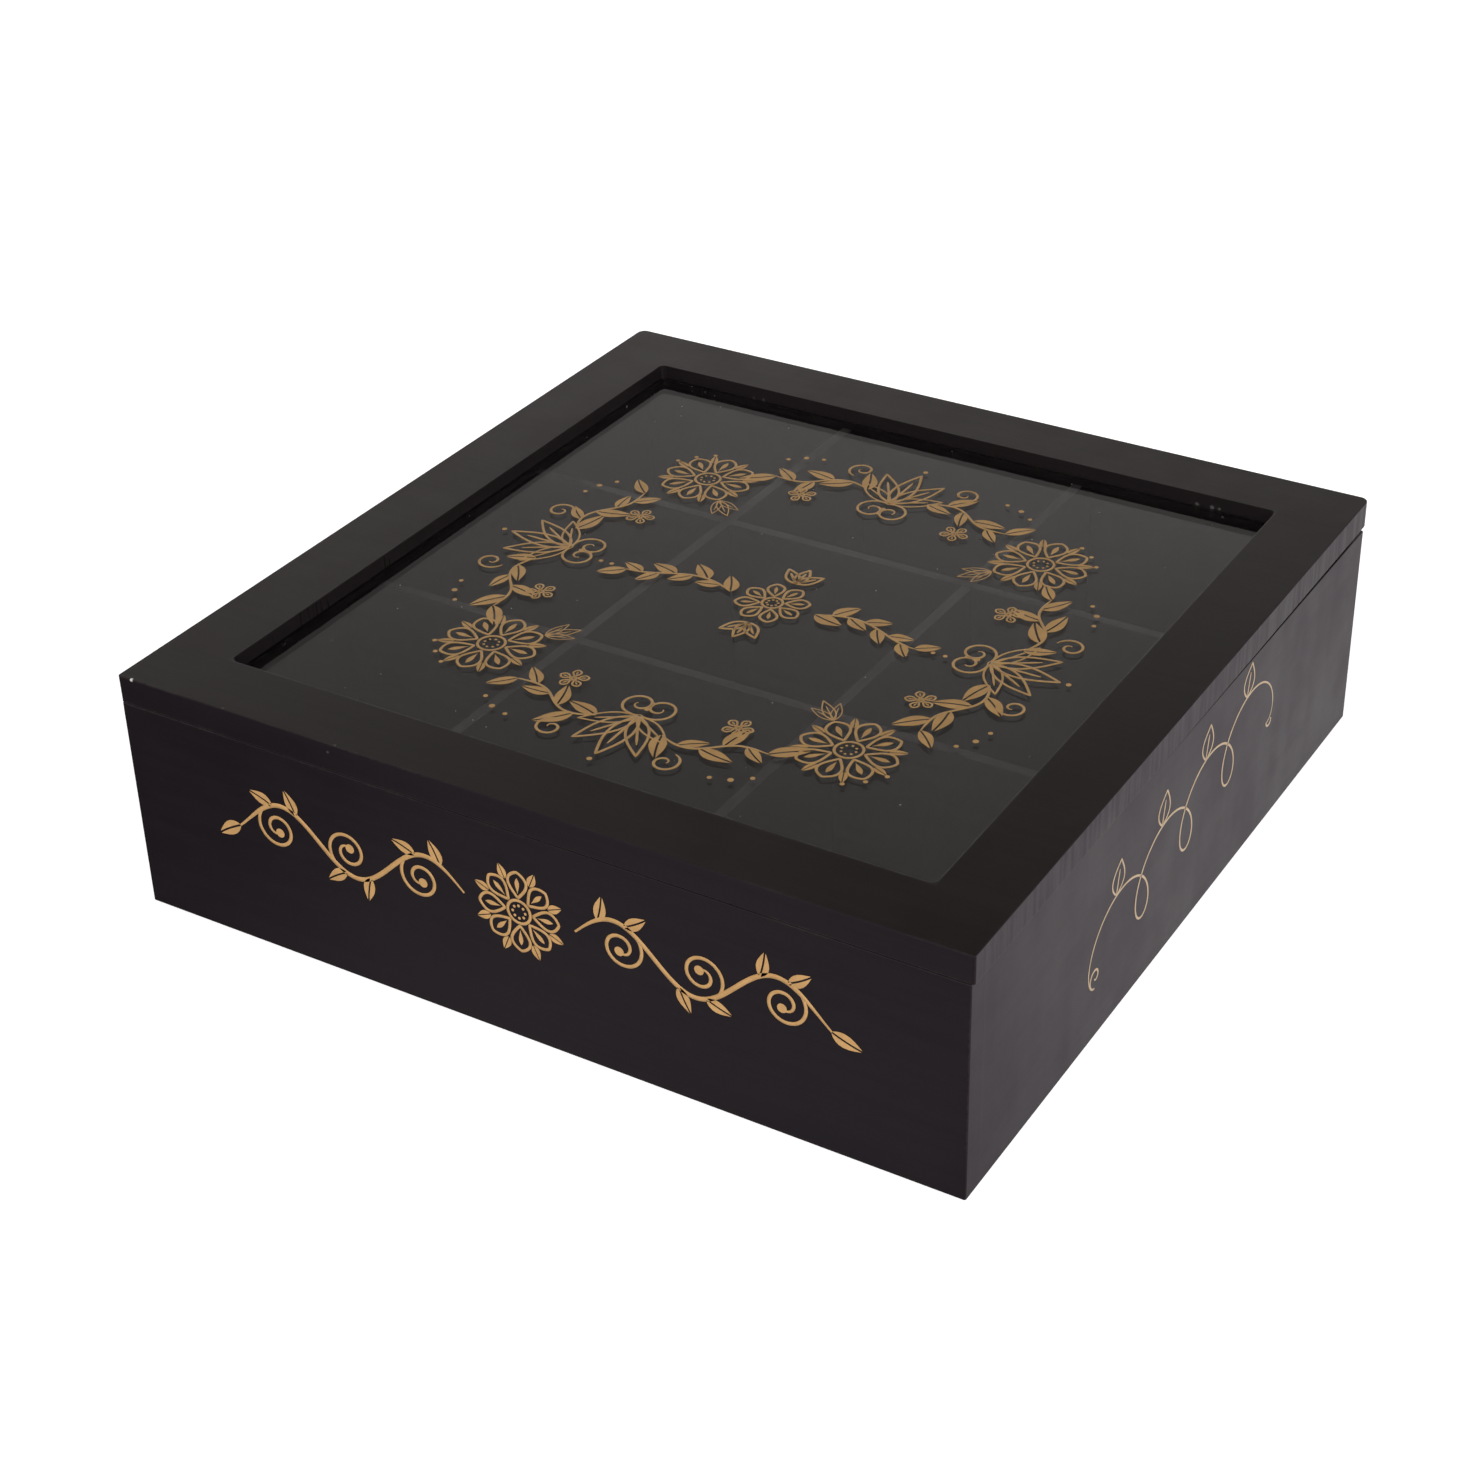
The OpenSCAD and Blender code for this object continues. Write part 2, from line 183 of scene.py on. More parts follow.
def paint_group(arris_distance):
    """Paint over wood: faint grain, brush mottle, edges rubbed through here and there, and the outer strip
    where a painted edge highlight goes.
    """
    takes = {
        "Place": (VECTOR, None),
        "Middle": (VECTOR, None),
        "Half": (VECTOR, None),
        "Stretch": (VECTOR, None),
        "Rub width": (FLOAT, 0.0008),
        "Rub": (FLOAT, 1.0),
    }
    gives = {"Rubbed": FLOAT, "Edge highlight": FLOAT, "Grain": FLOAT, "Mottle": FLOAT, "Height": FLOAT}
    tree, taken, given = new_group("paint over wood", "ShaderNodeTree", takes, gives)
    place = taken["Place"]
    along = calc_vector(tree, "MULTIPLY", place, taken["Stretch"])
    grain = noise(tree, along, GRAIN_SCALE, 4.0, 0.6)
    mottle = noise(tree, place, MOTTLE_SCALE, 4.0, 0.55)
    peel = noise(tree, place, PEEL_SCALE, 2.0, 0.5)
    edge = use(tree, arris_distance, Place=place, Middle=taken["Middle"], Half=taken["Half"])["Distance"]
    fine = noise(tree, place, RAGGED_SCALE, 2.0, 0.5)
    patch = noise(tree, place, WORN_PATCH_SCALE, 2.0, 0.5)
    reach = calc(tree, "MULTIPLY", taken["Rub width"], ramp(tree, fine, 0.3, 0.7, 0.3, 1.6))
    near = calc(tree, "SUBTRACT", 1.0, ramp(tree, calc(tree, "DIVIDE", edge, reach), 0.0, 1.0))
    worn = calc(tree, "MULTIPLY", near, ramp(tree, patch, 0.42, 0.66))
    tree.links.new(calc(tree, "MULTIPLY", worn, taken["Rub"]), given.inputs["Rubbed"])
    tree.links.new(ramp(tree, edge, *EDGE_HIGHLIGHT_STRIP, 1.0, 0.0), given.inputs["Edge highlight"])
    tree.links.new(grain, given.inputs["Grain"])
    tree.links.new(mottle, given.inputs["Mottle"])
    height = calc(tree, "MULTIPLY_ADD", grain, 0.5, calc(tree, "MULTIPLY", peel, 0.35))
    tree.links.new(calc(tree, "MULTIPLY_ADD", mottle, 0.8, height), given.inputs["Height"])
    return tree


def smudge_group():
    """Finger smears and settled dust, each as a mask."""
    takes = {"Place": (VECTOR, None), "Smear scale": (FLOAT, 18.0), "Speck scale": (FLOAT, 420.0)}
    gives = {"Smear": FLOAT, "Specks": FLOAT}
    tree, taken, given = new_group("smears and dust", "ShaderNodeTree", takes, gives)
    warped = put(tree, "ShaderNodeTexNoise", {"Vector": taken["Place"], "Scale": 30.0, "Detail": 2.0})
    push = calc_vector(tree, "MULTIPLY", warped.outputs["Color"], (0.02, 0.02, 0.02))
    bent = calc_vector(tree, "ADD", taken["Place"], push)
    smear = ramp(tree, noise(tree, bent, taken["Smear scale"], 5.0, 0.65), 0.45, 0.72)
    cells = put(tree, "ShaderNodeTexVoronoi", {"Vector": taken["Place"], "Scale": taken["Speck scale"]})
    dot = ramp(tree, cells.outputs["Distance"], 0.05, 0.16, 1.0, 0.0)
    draw = put(tree, "ShaderNodeSeparateColor", {0: cells.outputs["Color"]}).outputs[0]
    picked = ramp(tree, draw, *SPECKED)
    tree.links.new(smear, given.inputs["Smear"])
    tree.links.new(calc(tree, "MULTIPLY", dot, picked), given.inputs["Specks"])
    return tree


arris_distance = arris_group()
paint_over_wood = paint_group(arris_distance)
smears_and_dust = smudge_group()


# Materials

def new_material(name):
    """A material with a bare shader, its tree and the shader."""
    material = bpy.data.materials.new(name)
    material.use_nodes = True
    tree = material.node_tree
    shader = tree.nodes["Principled BSDF"]
    return material, tree, shader


def bumped(tree, shader, height, strength, depth):
    """Gives a shader a fine relief."""
    bump = put(tree, "ShaderNodeBump", {"Height": height, "Strength": strength, "Distance": depth})
    tree.links.new(bump.outputs["Normal"], shader.inputs["Normal"])


def object_place(tree, on_lid=False):
    """Object coordinates. Those of the lid's pieces are turned back to a level lid."""
    place = put(tree, "ShaderNodeTexCoord").outputs["Object"]
    if not on_lid:
        return place
    feeds = {
        "Vector": place,
        "Location": closed_to_level.translation,
        "Rotation": closed_to_level.to_euler(),
    }
    return put(tree, "ShaderNodeMapping", feeds, vector_type="POINT").outputs["Vector"]


def level_box(node, on_lid):
    """The middle and half size of a node, with a lid's piece turned back to level."""
    turn = closed_to_level if on_lid else Matrix.Identity(4)
    points = [turn @ v.co for v in nodes[node].data.vertices]
    low = Vector([min(p[axis] for p in points) for axis in range(3)])
    high = Vector([max(p[axis] for p in points) for axis in range(3)])
    return (low + high) / 2, (high - low) / 2


PAINT_DARK = (0.0058, 0.0030, 0.0056, 1)
PAINT_LIGHT = (0.0080, 0.0046, 0.0070, 1)
# Painted tints of the reflections: level faces have a darker, warmer paint, and those to the left and right a
# paler, redder one
TOP_SHEEN_DARK = (0.0044, 0.0018, 0.0020, 1)
TOP_SHEEN_LIGHT = (0.0066, 0.0034, 0.0034, 1)
SIDE_SHEEN_DARK = (0.0110, 0.0035, 0.0095, 1)
SIDE_SHEEN_LIGHT = (0.0145, 0.0060, 0.0125, 1)
# Paler paint on the compartments' faces and the pieces under the lid: painted light where the box's inside
# lies in shade
INSIDE_LIT_DARK = (0.014, 0.011, 0.011, 1)
INSIDE_LIT_LIGHT = (0.022, 0.018, 0.017, 1)
# Colour of the painted highlight along the edges
EDGE_HIGHLIGHT_PAINT = (0.018, 0.013, 0.016, 1)
BARE_WOOD = (0.10, 0.083, 0.072, 1)
# Paler paint on the lid's faces within the window: painted light on the window's edges
ABOUT_WINDOW_LIT = (0.011, 0.0085, 0.0090, 1)
# Pale chip colour, also used for the painted glints on the lid's window lip
PALE_CHIP_AND_GLINT = (0.78, 0.75, 0.72, 1)
# How a board's grain is stretched
ALONG_X = (0.04, 1, 1)
ALONG_Y = (1, 0.04, 1)
ALONG_Z = (1, 1, 0.04)

# Small marks: place on the closed box in millimetres, reach in millimetres, and how much of the colour shows
# On the lid, the marks on the window's back lip (y = 100.5) are painted glints; the others are chips
LID_CHIPS_AND_GLINTS = (
    (-115.3, -120, 68.5, 0.6, 0.9), (-86.3, -119.6, 68.8, 0.5, 0.06), (-51.5, -119.7, 68.7, 0.5, 0.05),
    (-53.7, -120, 66.3, 0.5, 0.06), (-67.0, 100.5, 67.1, 0.7, 0.03), (-63.6, 100.5, 67.0, 0.8, 0.04),
    (77.4, 100.5, 67.1, 0.8, 0.09), (81.9, 100.5, 67.2, 0.9, 0.11), (84.0, 100.5, 67.3, 0.7, 0.09),
)
WALL_CHIPS = ((119.75, -115.2, 49.4, 0.7, 0.8),)

# A face counts as turned along an axis between these parts of its normal
FACE_TURN = (0.7, 0.9)
RUB_WIDTH = 0.6 * MM
PAINT_RELIEF = 0.03 * MM
EDGE_HIGHLIGHT_SHOWN = 0.8
SIDE_SMOOTHER = 0.08
RUBBED_ROUGHER = 0.3


def outer_normal(tree):
    """The size of each part of the surface's direction, in the object's own frame."""
    normal = calc_vector(tree, "ABSOLUTE", put(tree, "ShaderNodeTexCoord").outputs["Normal"])
    return split(tree, normal)


def marks(tree, place, spots, on_lid=False):
    """A mask of small ragged marks."""
    turn = closed_to_level if on_lid else Matrix.Identity(4)
    depth = 0.4 * MM
    ragged = calc(tree, "MULTIPLY_ADD", noise(tree, place, 1500.0, 2.0), 2 * depth, -depth)
    mask = 0.0
    for x, y, z, reach, weight in spots:
        centre = turn @ Vector((x * MM, y * MM, z * MM))
        away = put(tree, "ShaderNodeVectorMath", {0: place, 1: centre}, operation="DISTANCE").outputs["Value"]
        spot = ramp(tree, calc(tree, "ADD", away, ragged), 0.3 * reach * MM, reach * MM, weight, 0.0)
        mask = calc(tree, "MAXIMUM", mask, spot)
    return mask


def inside_of_box(tree, place):
    """1 on the faces that look into the compartments."""
    x, y, _ = split(tree, calc_vector(tree, "ABSOLUTE", place))
    soft = 0.1 * MM
    reach_x = -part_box("left_wall")[1].x + soft
    reach_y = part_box("back_wall")[0].y + soft
    past = calc(tree, "MAXIMUM", calc(tree, "SUBTRACT", x, reach_x), calc(tree, "SUBTRACT", y, reach_y))
    return ramp(tree, past, 0.0, soft, 1.0, 0.0)


def black_paint(node, stretch, on_lid=False, ior=1.18, roughness=0.42, inner=None, streak=120.0,
                streak_depth=0.015):
    """Satin black paint on one board, with the board's grain under it.

    The share of the paler inside colour, painted light where the box's inside lies in shade, is inner. Where
    that is None, it is 1 on the compartments' faces.
    """
    material, tree, shader = new_material("black paint " + node.replace("_", " "))
    place = object_place(tree, on_lid)
    middle, half = level_box(node, on_lid)
    skin = use(tree, paint_over_wood, Place=place, Middle=middle, Half=half, Stretch=stretch,
               Rub_width=RUB_WIDTH, Rub=0.1)
    tone = ramp(tree, calc(tree, "ADD", skin["Grain"], skin["Mottle"]), 0.75, 1.25)
    across, _, upward = outer_normal(tree)
    side = ramp(tree, across, *FACE_TURN)
    level = ramp(tree, upward, *FACE_TURN)
    brushed = noise(tree, calc_vector(tree, "MULTIPLY", place, ALONG_Z), streak, 3.0)
    side_sheen_tone = ramp(tree, calc(tree, "MULTIPLY_ADD", brushed, 2.0, tone), 1.1, 1.9)
    paint = blend_colours(tree, tone, PAINT_DARK, PAINT_LIGHT)
    # Painted sheen by face direction: darker and warmer on level faces, paler and redder on the faces to the
    # left and right
    paint = blend_colours(tree, level, paint, blend_colours(tree, tone, TOP_SHEEN_DARK, TOP_SHEEN_LIGHT))
    paint = blend_colours(tree, side, paint, blend_colours(tree, side_sheen_tone, SIDE_SHEEN_DARK, SIDE_SHEEN_LIGHT))
    # Painted light: paler paint on the faces inside the box
    inside = inside_of_box(tree, place) if inner is None else inner
    paint = blend_colours(tree, inside, paint, blend_colours(tree, tone, INSIDE_LIT_DARK, INSIDE_LIT_LIGHT))
    # Painted highlight along the edges
    paint = blend_colours(tree, calc(tree, "MULTIPLY", skin["Edge highlight"], EDGE_HIGHLIGHT_SHOWN), paint, EDGE_HIGHLIGHT_PAINT)
    tree.links.new(blend_colours(tree, skin["Rubbed"], paint, BARE_WOOD), shader.inputs["Base Color"])
    shine = ramp(tree, skin["Mottle"], 0.3, 0.7, roughness - 0.03, roughness + 0.04)
    low, high = -SIDE_SMOOTHER - streak_depth, -SIDE_SMOOTHER + streak_depth
    strokes_seen = ramp(tree, brushed, 0.35, 0.65, low, high)
    shine = calc(tree, "MULTIPLY_ADD", side, strokes_seen, shine)
    shine = calc(tree, "MULTIPLY_ADD", skin["Rubbed"], RUBBED_ROUGHER, shine)
    tree.links.new(shine, shader.inputs["Roughness"])
    bumped(tree, shader, skin["Height"], 1.0, PAINT_RELIEF)
    shader.inputs["IOR"].default_value = ior
    return material


def spotted(material, spots, colour, on_lid=False):
    """Lays small marks over a painted board."""
    tree = material.node_tree
    base = tree.nodes["Principled BSDF"].inputs["Base Color"]
    mask = marks(tree, object_place(tree, on_lid), spots, on_lid)
    tree.links.new(blend_colours(tree, mask, base.links[0].from_socket, colour), base)
    return material


def lid_paint():
    """The lid's paint: brushed upright on its sides, paler on the faces about the window as painted light,
    with pale chips on the front edge and painted glints on the window's back lip.
    """
    material = black_paint("lid_board", ALONG_X, True, inner=0.0, streak=700.0, streak_depth=0.05)
    tree = material.node_tree
    base = tree.nodes["Principled BSDF"].inputs["Base Color"]
    place = object_place(tree, True)
    low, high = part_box("glass_pane")
    middle = (low + high) / 2
    pane_half = (high - low) / 2
    from_middle = calc_vector(tree, "ABSOLUTE", calc_vector(tree, "SUBTRACT", place, middle))
    x, y, _ = split(tree, from_middle)
    frame_lap = 5.0 * MM
    past = calc(tree, "MAXIMUM", calc(tree, "SUBTRACT", x, pane_half.x - frame_lap),
                calc(tree, "SUBTRACT", y, pane_half.y - frame_lap))
    within = ramp(tree, past, 0.0, 0.2 * MM, 1.0, 0.0)
    # Painted light: paler paint on the faces within the window
    tree.links.new(blend_colours(tree, within, base.links[0].from_socket, ABOUT_WINDOW_LIT), base)
    # Pale chips on the lid's front edge and painted glints on the window's back lip
    return spotted(material, LID_CHIPS_AND_GLINTS, PALE_CHIP_AND_GLINT, True)


def window_glass():
    """Clear glass with a trace of finger smears."""
    material, tree, shader = new_material("window glass")
    dirt = use(tree, smears_and_dust, Place=object_place(tree, True))
    tint = blend_colours(tree, dirt["Specks"], (0.93, 0.95, 0.94, 1), (0.55, 0.56, 0.56, 1))
    tree.links.new(tint, shader.inputs["Base Color"])
    shine = ramp(tree, dirt["Smear"], 0.0, 1.0, 0.01, 0.05)
    tree.links.new(calc(tree, "MULTIPLY_ADD", dirt["Specks"], 0.4, shine), shader.inputs["Roughness"])
    shader.inputs["IOR"].default_value = 1.45
    shader.inputs["Transmission Weight"].default_value = 1.0
    return material


def gold_ink(name, full, thin, on_lid=False):
    """Printed gold ink, laid on a little unevenly."""
    material, tree, shader = new_material(name)
    place = object_place(tree, on_lid)
    cover = ramp(tree, noise(tree, place, 260.0, 4.0, 0.6), 0.3, 0.72)
    flakes = noise(tree, place, 2600.0, 2.0, 0.6)
    tree.links.new(blend_colours(tree, cover, thin, full), shader.inputs["Base Color"])
    tree.links.new(ramp(tree, flakes, 0.3, 0.7, 0.42, 0.62), shader.inputs["Roughness"])
    bumped(tree, shader, flakes, 0.6, 0.01 * MM)
    shader.inputs["IOR"].default_value = 1.4
    return material


def hinge_brass():
    """Satin brass plate with fine scratches and tarnish in patches."""
    material, tree, shader = new_material("hinge brass")
    place = object_place(tree)
    scratch = noise(tree, calc_vector(tree, "MULTIPLY", place, ALONG_X), 2400.0, 3.0, 0.6)
    tarnish = ramp(tree, noise(tree, place, 240.0, 4.0, 0.6), 0.42, 0.7)
    colour = blend_colours(tree, tarnish, (0.70, 0.49, 0.22, 1), (0.42, 0.27, 0.11, 1))
    tree.links.new(colour, shader.inputs["Base Color"])
    shine = ramp(tree, scratch, 0.3, 0.7, 0.24, 0.42)
    tree.links.new(calc(tree, "MULTIPLY_ADD", tarnish, 0.12, shine), shader.inputs["Roughness"])
    bumped(tree, shader, scratch, 0.5, 0.01 * MM)
    shader.inputs["Metallic"].default_value = 1.0
    return material


def drawn_wire():
    """Bright drawn steel wire with draw marks and a little dulling."""
    material, tree, shader = new_material("drawn steel wire")
    place = object_place(tree)
    draw_lines = noise(tree, place, 2000.0, 3.0, 0.6)
    dull = ramp(tree, noise(tree, place, 300.0, 3.0, 0.5), 0.45, 0.7)
    tree.links.new(blend_colours(tree, dull, (0.56, 0.56, 0.57, 1), (0.34, 0.33, 0.32, 1)),
                   shader.inputs["Base Color"])
    tree.links.new(ramp(tree, draw_lines, 0.3, 0.7, 0.22, 0.45), shader.inputs["Roughness"])
    shader.inputs["Metallic"].default_value = 1.0
    return material


def dress(node, material):
    """Gives a CAD node its material."""
    for slot in nodes[node].material_slots:
        slot.material = material


# Ornament: thin films of ink, drawn flat with X to the right and Y up, standing on Z = 0

FILM = (FLOAT, 0.05 * MM)
LINE = (FLOAT, 0.7 * MM)
LEAF_SIZES = {
    "Length": (FLOAT, 10 * MM),
    "Width": (FLOAT, 5 * MM),
    "Bend": (FLOAT, 0.0),
    "Line": LINE,
    "Film": FILM,
    "Drawn": ("NodeSocketBool", False),
}
BLOSSOM_SIZES = {
    "Petals": (INTEGER, 6),
    "Core": (FLOAT, 3 * MM),
    "Petal": (FLOAT, 8 * MM),
    "Breadth": (FLOAT, 6 * MM),
    "Line": LINE,
    "Film": FILM,
}
DOT_SIZES = {"Radius": (FLOAT, 1 * MM), "Film": FILM}


def line_group():
    """A line of ink along a curve, thinner towards the ends of an open one."""
    takes = {
        "Curve": (GEOMETRY, None),
        "Line": LINE,
        "Film": FILM,
        "Taper": (FLOAT, 0.0),
        "Step": (FLOAT, 0.5 * MM),
    }
    tree, taken, given = new_group("ink line", "GeometryNodeTree", takes, {"Mesh": GEOMETRY})
    spaced = put(tree, "GeometryNodeResampleCurve", {"Curve": taken["Curve"], "Length": taken["Step"]},
                 mode="LENGTH")
    up = put(tree, "GeometryNodeSetCurveNormal", {"Curve": spaced.outputs[0]}, mode="Z_UP")
    share = put(tree, "GeometryNodeSplineParameter").outputs["Factor"]
    swell = calc(tree, "SINE", calc(tree, "MULTIPLY", share, math.pi))
    full = ramp(tree, swell, 0.0, 0.5, 0.0, 1.0)
    thinned = calc(tree, "MULTIPLY", taken["Taper"], calc(tree, "SUBTRACT", 1.0, full))
    width = calc(tree, "SUBTRACT", 1.0, thinned)
    profile = put(tree, "GeometryNodeCurvePrimitiveQuadrilateral",
                  {"Width": taken["Line"], "Height": taken["Film"]})
    swept = put(tree, "GeometryNodeCurveToMesh", {"Curve": up.outputs[0], "Profile Curve": profile.outputs[0],
                                                  "Scale": width, "Fill Caps": True})
    lift = put(tree, "ShaderNodeCombineXYZ", {"Z": calc(tree, "MULTIPLY", taken["Film"], 0.5)})
    lifted = put(tree, "GeometryNodeSetPosition", {"Geometry": swept.outputs[0], "Offset": lift.outputs[0]})
    tree.links.new(lifted.outputs[0], given.inputs["Mesh"])
    return tree


def blade_group():
    """Where a point of the unit circle comes to lie on the outline of a leaf or petal along +X."""
    takes = {
        "Length": (FLOAT, 10 * MM),
        "Width": (FLOAT, 5 * MM),
        "Fullness": (FLOAT, 0.8),
        "Bend": (FLOAT, 0.0),
        "Half": (FLOAT, 0.0),
        "Vein": (FLOAT, 0.0),
        "Round": (FLOAT, 1.0),
    }
    tree, taken, given = new_group("blade outline", "GeometryNodeTree", takes, {"Position": VECTOR})
    here = put(tree, "GeometryNodeInputPosition").outputs[0]
    x, y, z = split(tree, here)
    share = calc(tree, "MULTIPLY_ADD", x, 0.5, 0.5)
    share = calc(tree, "MINIMUM", calc(tree, "MAXIMUM", share, 0.0), 1.0)
    wave = calc(tree, "SINE", calc(tree, "MULTIPLY", calc(tree, "POWER", share, taken["Fullness"]), math.pi))
    wave = calc(tree, "POWER", calc(tree, "MAXIMUM", wave, 0.0), taken["Round"])
    breadth = calc(tree, "MULTIPLY", wave, calc(tree, "MULTIPLY", taken["Width"], 0.5))
    side = calc(tree, "SIGN", calc(tree, "TRUNC", calc(tree, "MULTIPLY", y, 1000.0)))
    whole = calc(tree, "MULTIPLY", side, breadth)
    outer = calc(tree, "MAXIMUM", calc(tree, "MULTIPLY", side, taken["Half"]), 0.0)
    halved = calc(tree, "MULTIPLY", taken["Half"],
                  calc(tree, "MULTIPLY_ADD", outer, breadth, calc(tree, "MULTIPLY", taken["Vein"], 0.5)))
    is_half = calc(tree, "ABSOLUTE", taken["Half"])
    edge = calc(tree, "ADD", calc(tree, "MULTIPLY", whole, calc(tree, "SUBTRACT", 1.0, is_half)), halved)
    sag = calc(tree, "MULTIPLY", calc(tree, "MULTIPLY", share, share), taken["Bend"])
    feeds = {"X": calc(tree, "MULTIPLY", share, taken["Length"]), "Y": calc(tree, "ADD", edge, sag), "Z": z}
    tree.links.new(put(tree, "ShaderNodeCombineXYZ", feeds).outputs[0], given.inputs["Position"])
    return tree


def disc(tree, sides, radius, film):
    """A round spot of ink standing on Z = 0."""
    drum = put(tree, "GeometryNodeMeshCylinder", {"Vertices": sides, "Radius": radius, "Depth": film})
    lift = put(tree, "ShaderNodeCombineXYZ", {"Z": calc(tree, "MULTIPLY", film, 0.5)}).outputs[0]
    return put(tree, "GeometryNodeTransform", {"Geometry": drum.outputs[0], "Translation": lift}).outputs[0]


def ring(tree, points, radius=1.0):
    """A circle as a curve."""
    return put(tree, "GeometryNodeCurvePrimitiveCircle", {"Resolution": points, "Radius": radius}).outputs[0]


def shaped(tree, geometry, form):
    """A geometry with its points moved to the places of a form."""
    return put(tree, "GeometryNodeSetPosition", {"Geometry": geometry, "Position": form}).outputs[0]


def drawn(tree, line, taken, curve, **more):
    """A curve as a line of ink, with the width and thickness that the motif takes."""
    return use(tree, line, Curve=curve, Line=taken["Line"], Film=taken["Film"], **more)["Mesh"]


def joined(tree, *parts):
    """Several geometries as one."""
    made = tree.nodes.new("GeometryNodeJoinGeometry")
    for part in parts:
        tree.links.new(part, made.inputs[0])
    return made.outputs[0]


def leaf_group(blade, line):
    """A leaf along +X: either two solid halves with the vein left open between them, or drawn in line."""
    takes = {**LEAF_SIZES, "Fullness": (FLOAT, 0.8)}
    tree, taken, given = new_group("ink leaf", "GeometryNodeTree", takes, {"Mesh": GEOMETRY})
    sizes = {name: taken[name] for name in ("Length", "Width", "Fullness", "Bend")}
    vein = calc(tree, "MULTIPLY", taken["Line"], 0.7)
    halves = []
    for half in (1.0, -1.0):
        form = use(tree, blade, Half=half, Vein=vein, **sizes)["Position"]
        halves.append(shaped(tree, disc(tree, 20, 1.0, taken["Film"]), form))
    form = use(tree, blade, **sizes)["Position"]
    outline = drawn(tree, line, taken, shaped(tree, ring(tree, 28), form))
    rib = put(tree, "GeometryNodeCurvePrimitiveLine", {"Start": (-1, 0, 0), "End": (0.45, 0, 0)}).outputs[0]
    rib = put(tree, "GeometryNodeResampleCurve", {"Curve": rib, "Count": 9}).outputs[0]
    rib = drawn(tree, line, taken, shaped(tree, rib, form), Taper=0.5)
    choice = put(tree, "GeometryNodeSwitch", {"Switch": taken["Drawn"], "False": joined(tree, *halves),
                                              "True": joined(tree, outline, rib)})
    tree.links.new(choice.outputs[0], given.inputs["Mesh"])
    return tree


def about_z(tree, angle):
    """A turn about Z."""
    euler = put(tree, "ShaderNodeCombineXYZ", {"Z": angle}).outputs[0]
    return put(tree, "FunctionNodeEulerToRotation", {0: euler}).outputs[0]


def heading(tree, direction, extra=0.0):
    """The turn about Z that points +X along a direction, with an extra angle."""
    x, y, _ = split(tree, direction)
    return about_z(tree, calc(tree, "ADD", calc(tree, "ARCTAN2", y, x), extra))


def blossom_group(blade, line):
    """A blossom about the origin: outlined petals with a solid drop in each, a ring and an eye of dots."""
    tree, taken, given = new_group("ink blossom", "GeometryNodeTree", BLOSSOM_SIZES, {"Mesh": GEOMETRY})
    petal, breadth, core, film = taken["Petal"], taken["Breadth"], taken["Core"], taken["Film"]
    circle = put(tree, "GeometryNodeMeshCircle", {"Vertices": taken["Petals"], "Radius": core}).outputs[0]
    outward = heading(tree, put(tree, "GeometryNodeInputPosition").outputs[0])
    form = use(tree, blade, Length=petal, Width=breadth, Fullness=1.4, Round=0.7)["Position"]
    outline = drawn(tree, line, taken, shaped(tree, ring(tree, 24), form))
    short = calc(tree, "MULTIPLY", petal, 0.62)
    slim = calc(tree, "MULTIPLY", breadth, 0.24)
    drop_form = use(tree, blade, Length=short, Width=slim, Fullness=1.5)["Position"]
    drop = shaped(tree, disc(tree, 16, 1.0, film), drop_form)
    start = put(tree, "ShaderNodeCombineXYZ", {"X": calc(tree, "MULTIPLY", petal, 0.16)}).outputs[0]
    drop = put(tree, "GeometryNodeTransform", {"Geometry": drop, "Translation": start}).outputs[0]
    petals = put(tree, "GeometryNodeInstanceOnPoints",
                 {"Points": circle, "Instance": joined(tree, outline, drop), "Rotation": outward}).outputs[0]
    rim = drawn(tree, line, taken, ring(tree, 24, calc(tree, "MULTIPLY", core, 0.82)))
    eye_radius = calc(tree, "MULTIPLY", core, 0.45)
    eye = put(tree, "GeometryNodeMeshCircle", {"Vertices": taken["Petals"], "Radius": eye_radius}).outputs[0]
    speck = disc(tree, 8, calc(tree, "MULTIPLY", taken["Line"], 0.5), film)
    specks = put(tree, "GeometryNodeInstanceOnPoints", {"Points": eye, "Instance": speck}).outputs[0]
    tree.links.new(joined(tree, petals, rim, specks), given.inputs["Mesh"])
    return tree


def finish_tree(tree, taken, given, parts):
    """Ends a tree: instances made real, and the ink set."""
    real = put(tree, "GeometryNodeRealizeInstances", {"Geometry": joined(tree, *parts)}).outputs[0]
    inked = put(tree, "GeometryNodeSetMaterial", {"Geometry": real, "Material": taken["Ink"]}).outputs[0]
    tree.links.new(inked, given.inputs["Geometry"])


def stroke_tree(line):
    """Lines of ink along every run of edges of the carrier."""
    takes = {
        "Geometry": (GEOMETRY, None),
        "Line": LINE,
        "Film": FILM,
        "Taper": (FLOAT, 0.6),
        "Ink": (MATERIAL, None),
    }
    tree, taken, given = new_group("strokes", "GeometryNodeTree", takes, {"Geometry": GEOMETRY})
    curve = put(tree, "GeometryNodeMeshToCurve", {0: taken["Geometry"]}).outputs[0]
    finish_tree(tree, taken, given, [drawn(tree, line, taken, curve, Taper=taken["Taper"])])
    return tree


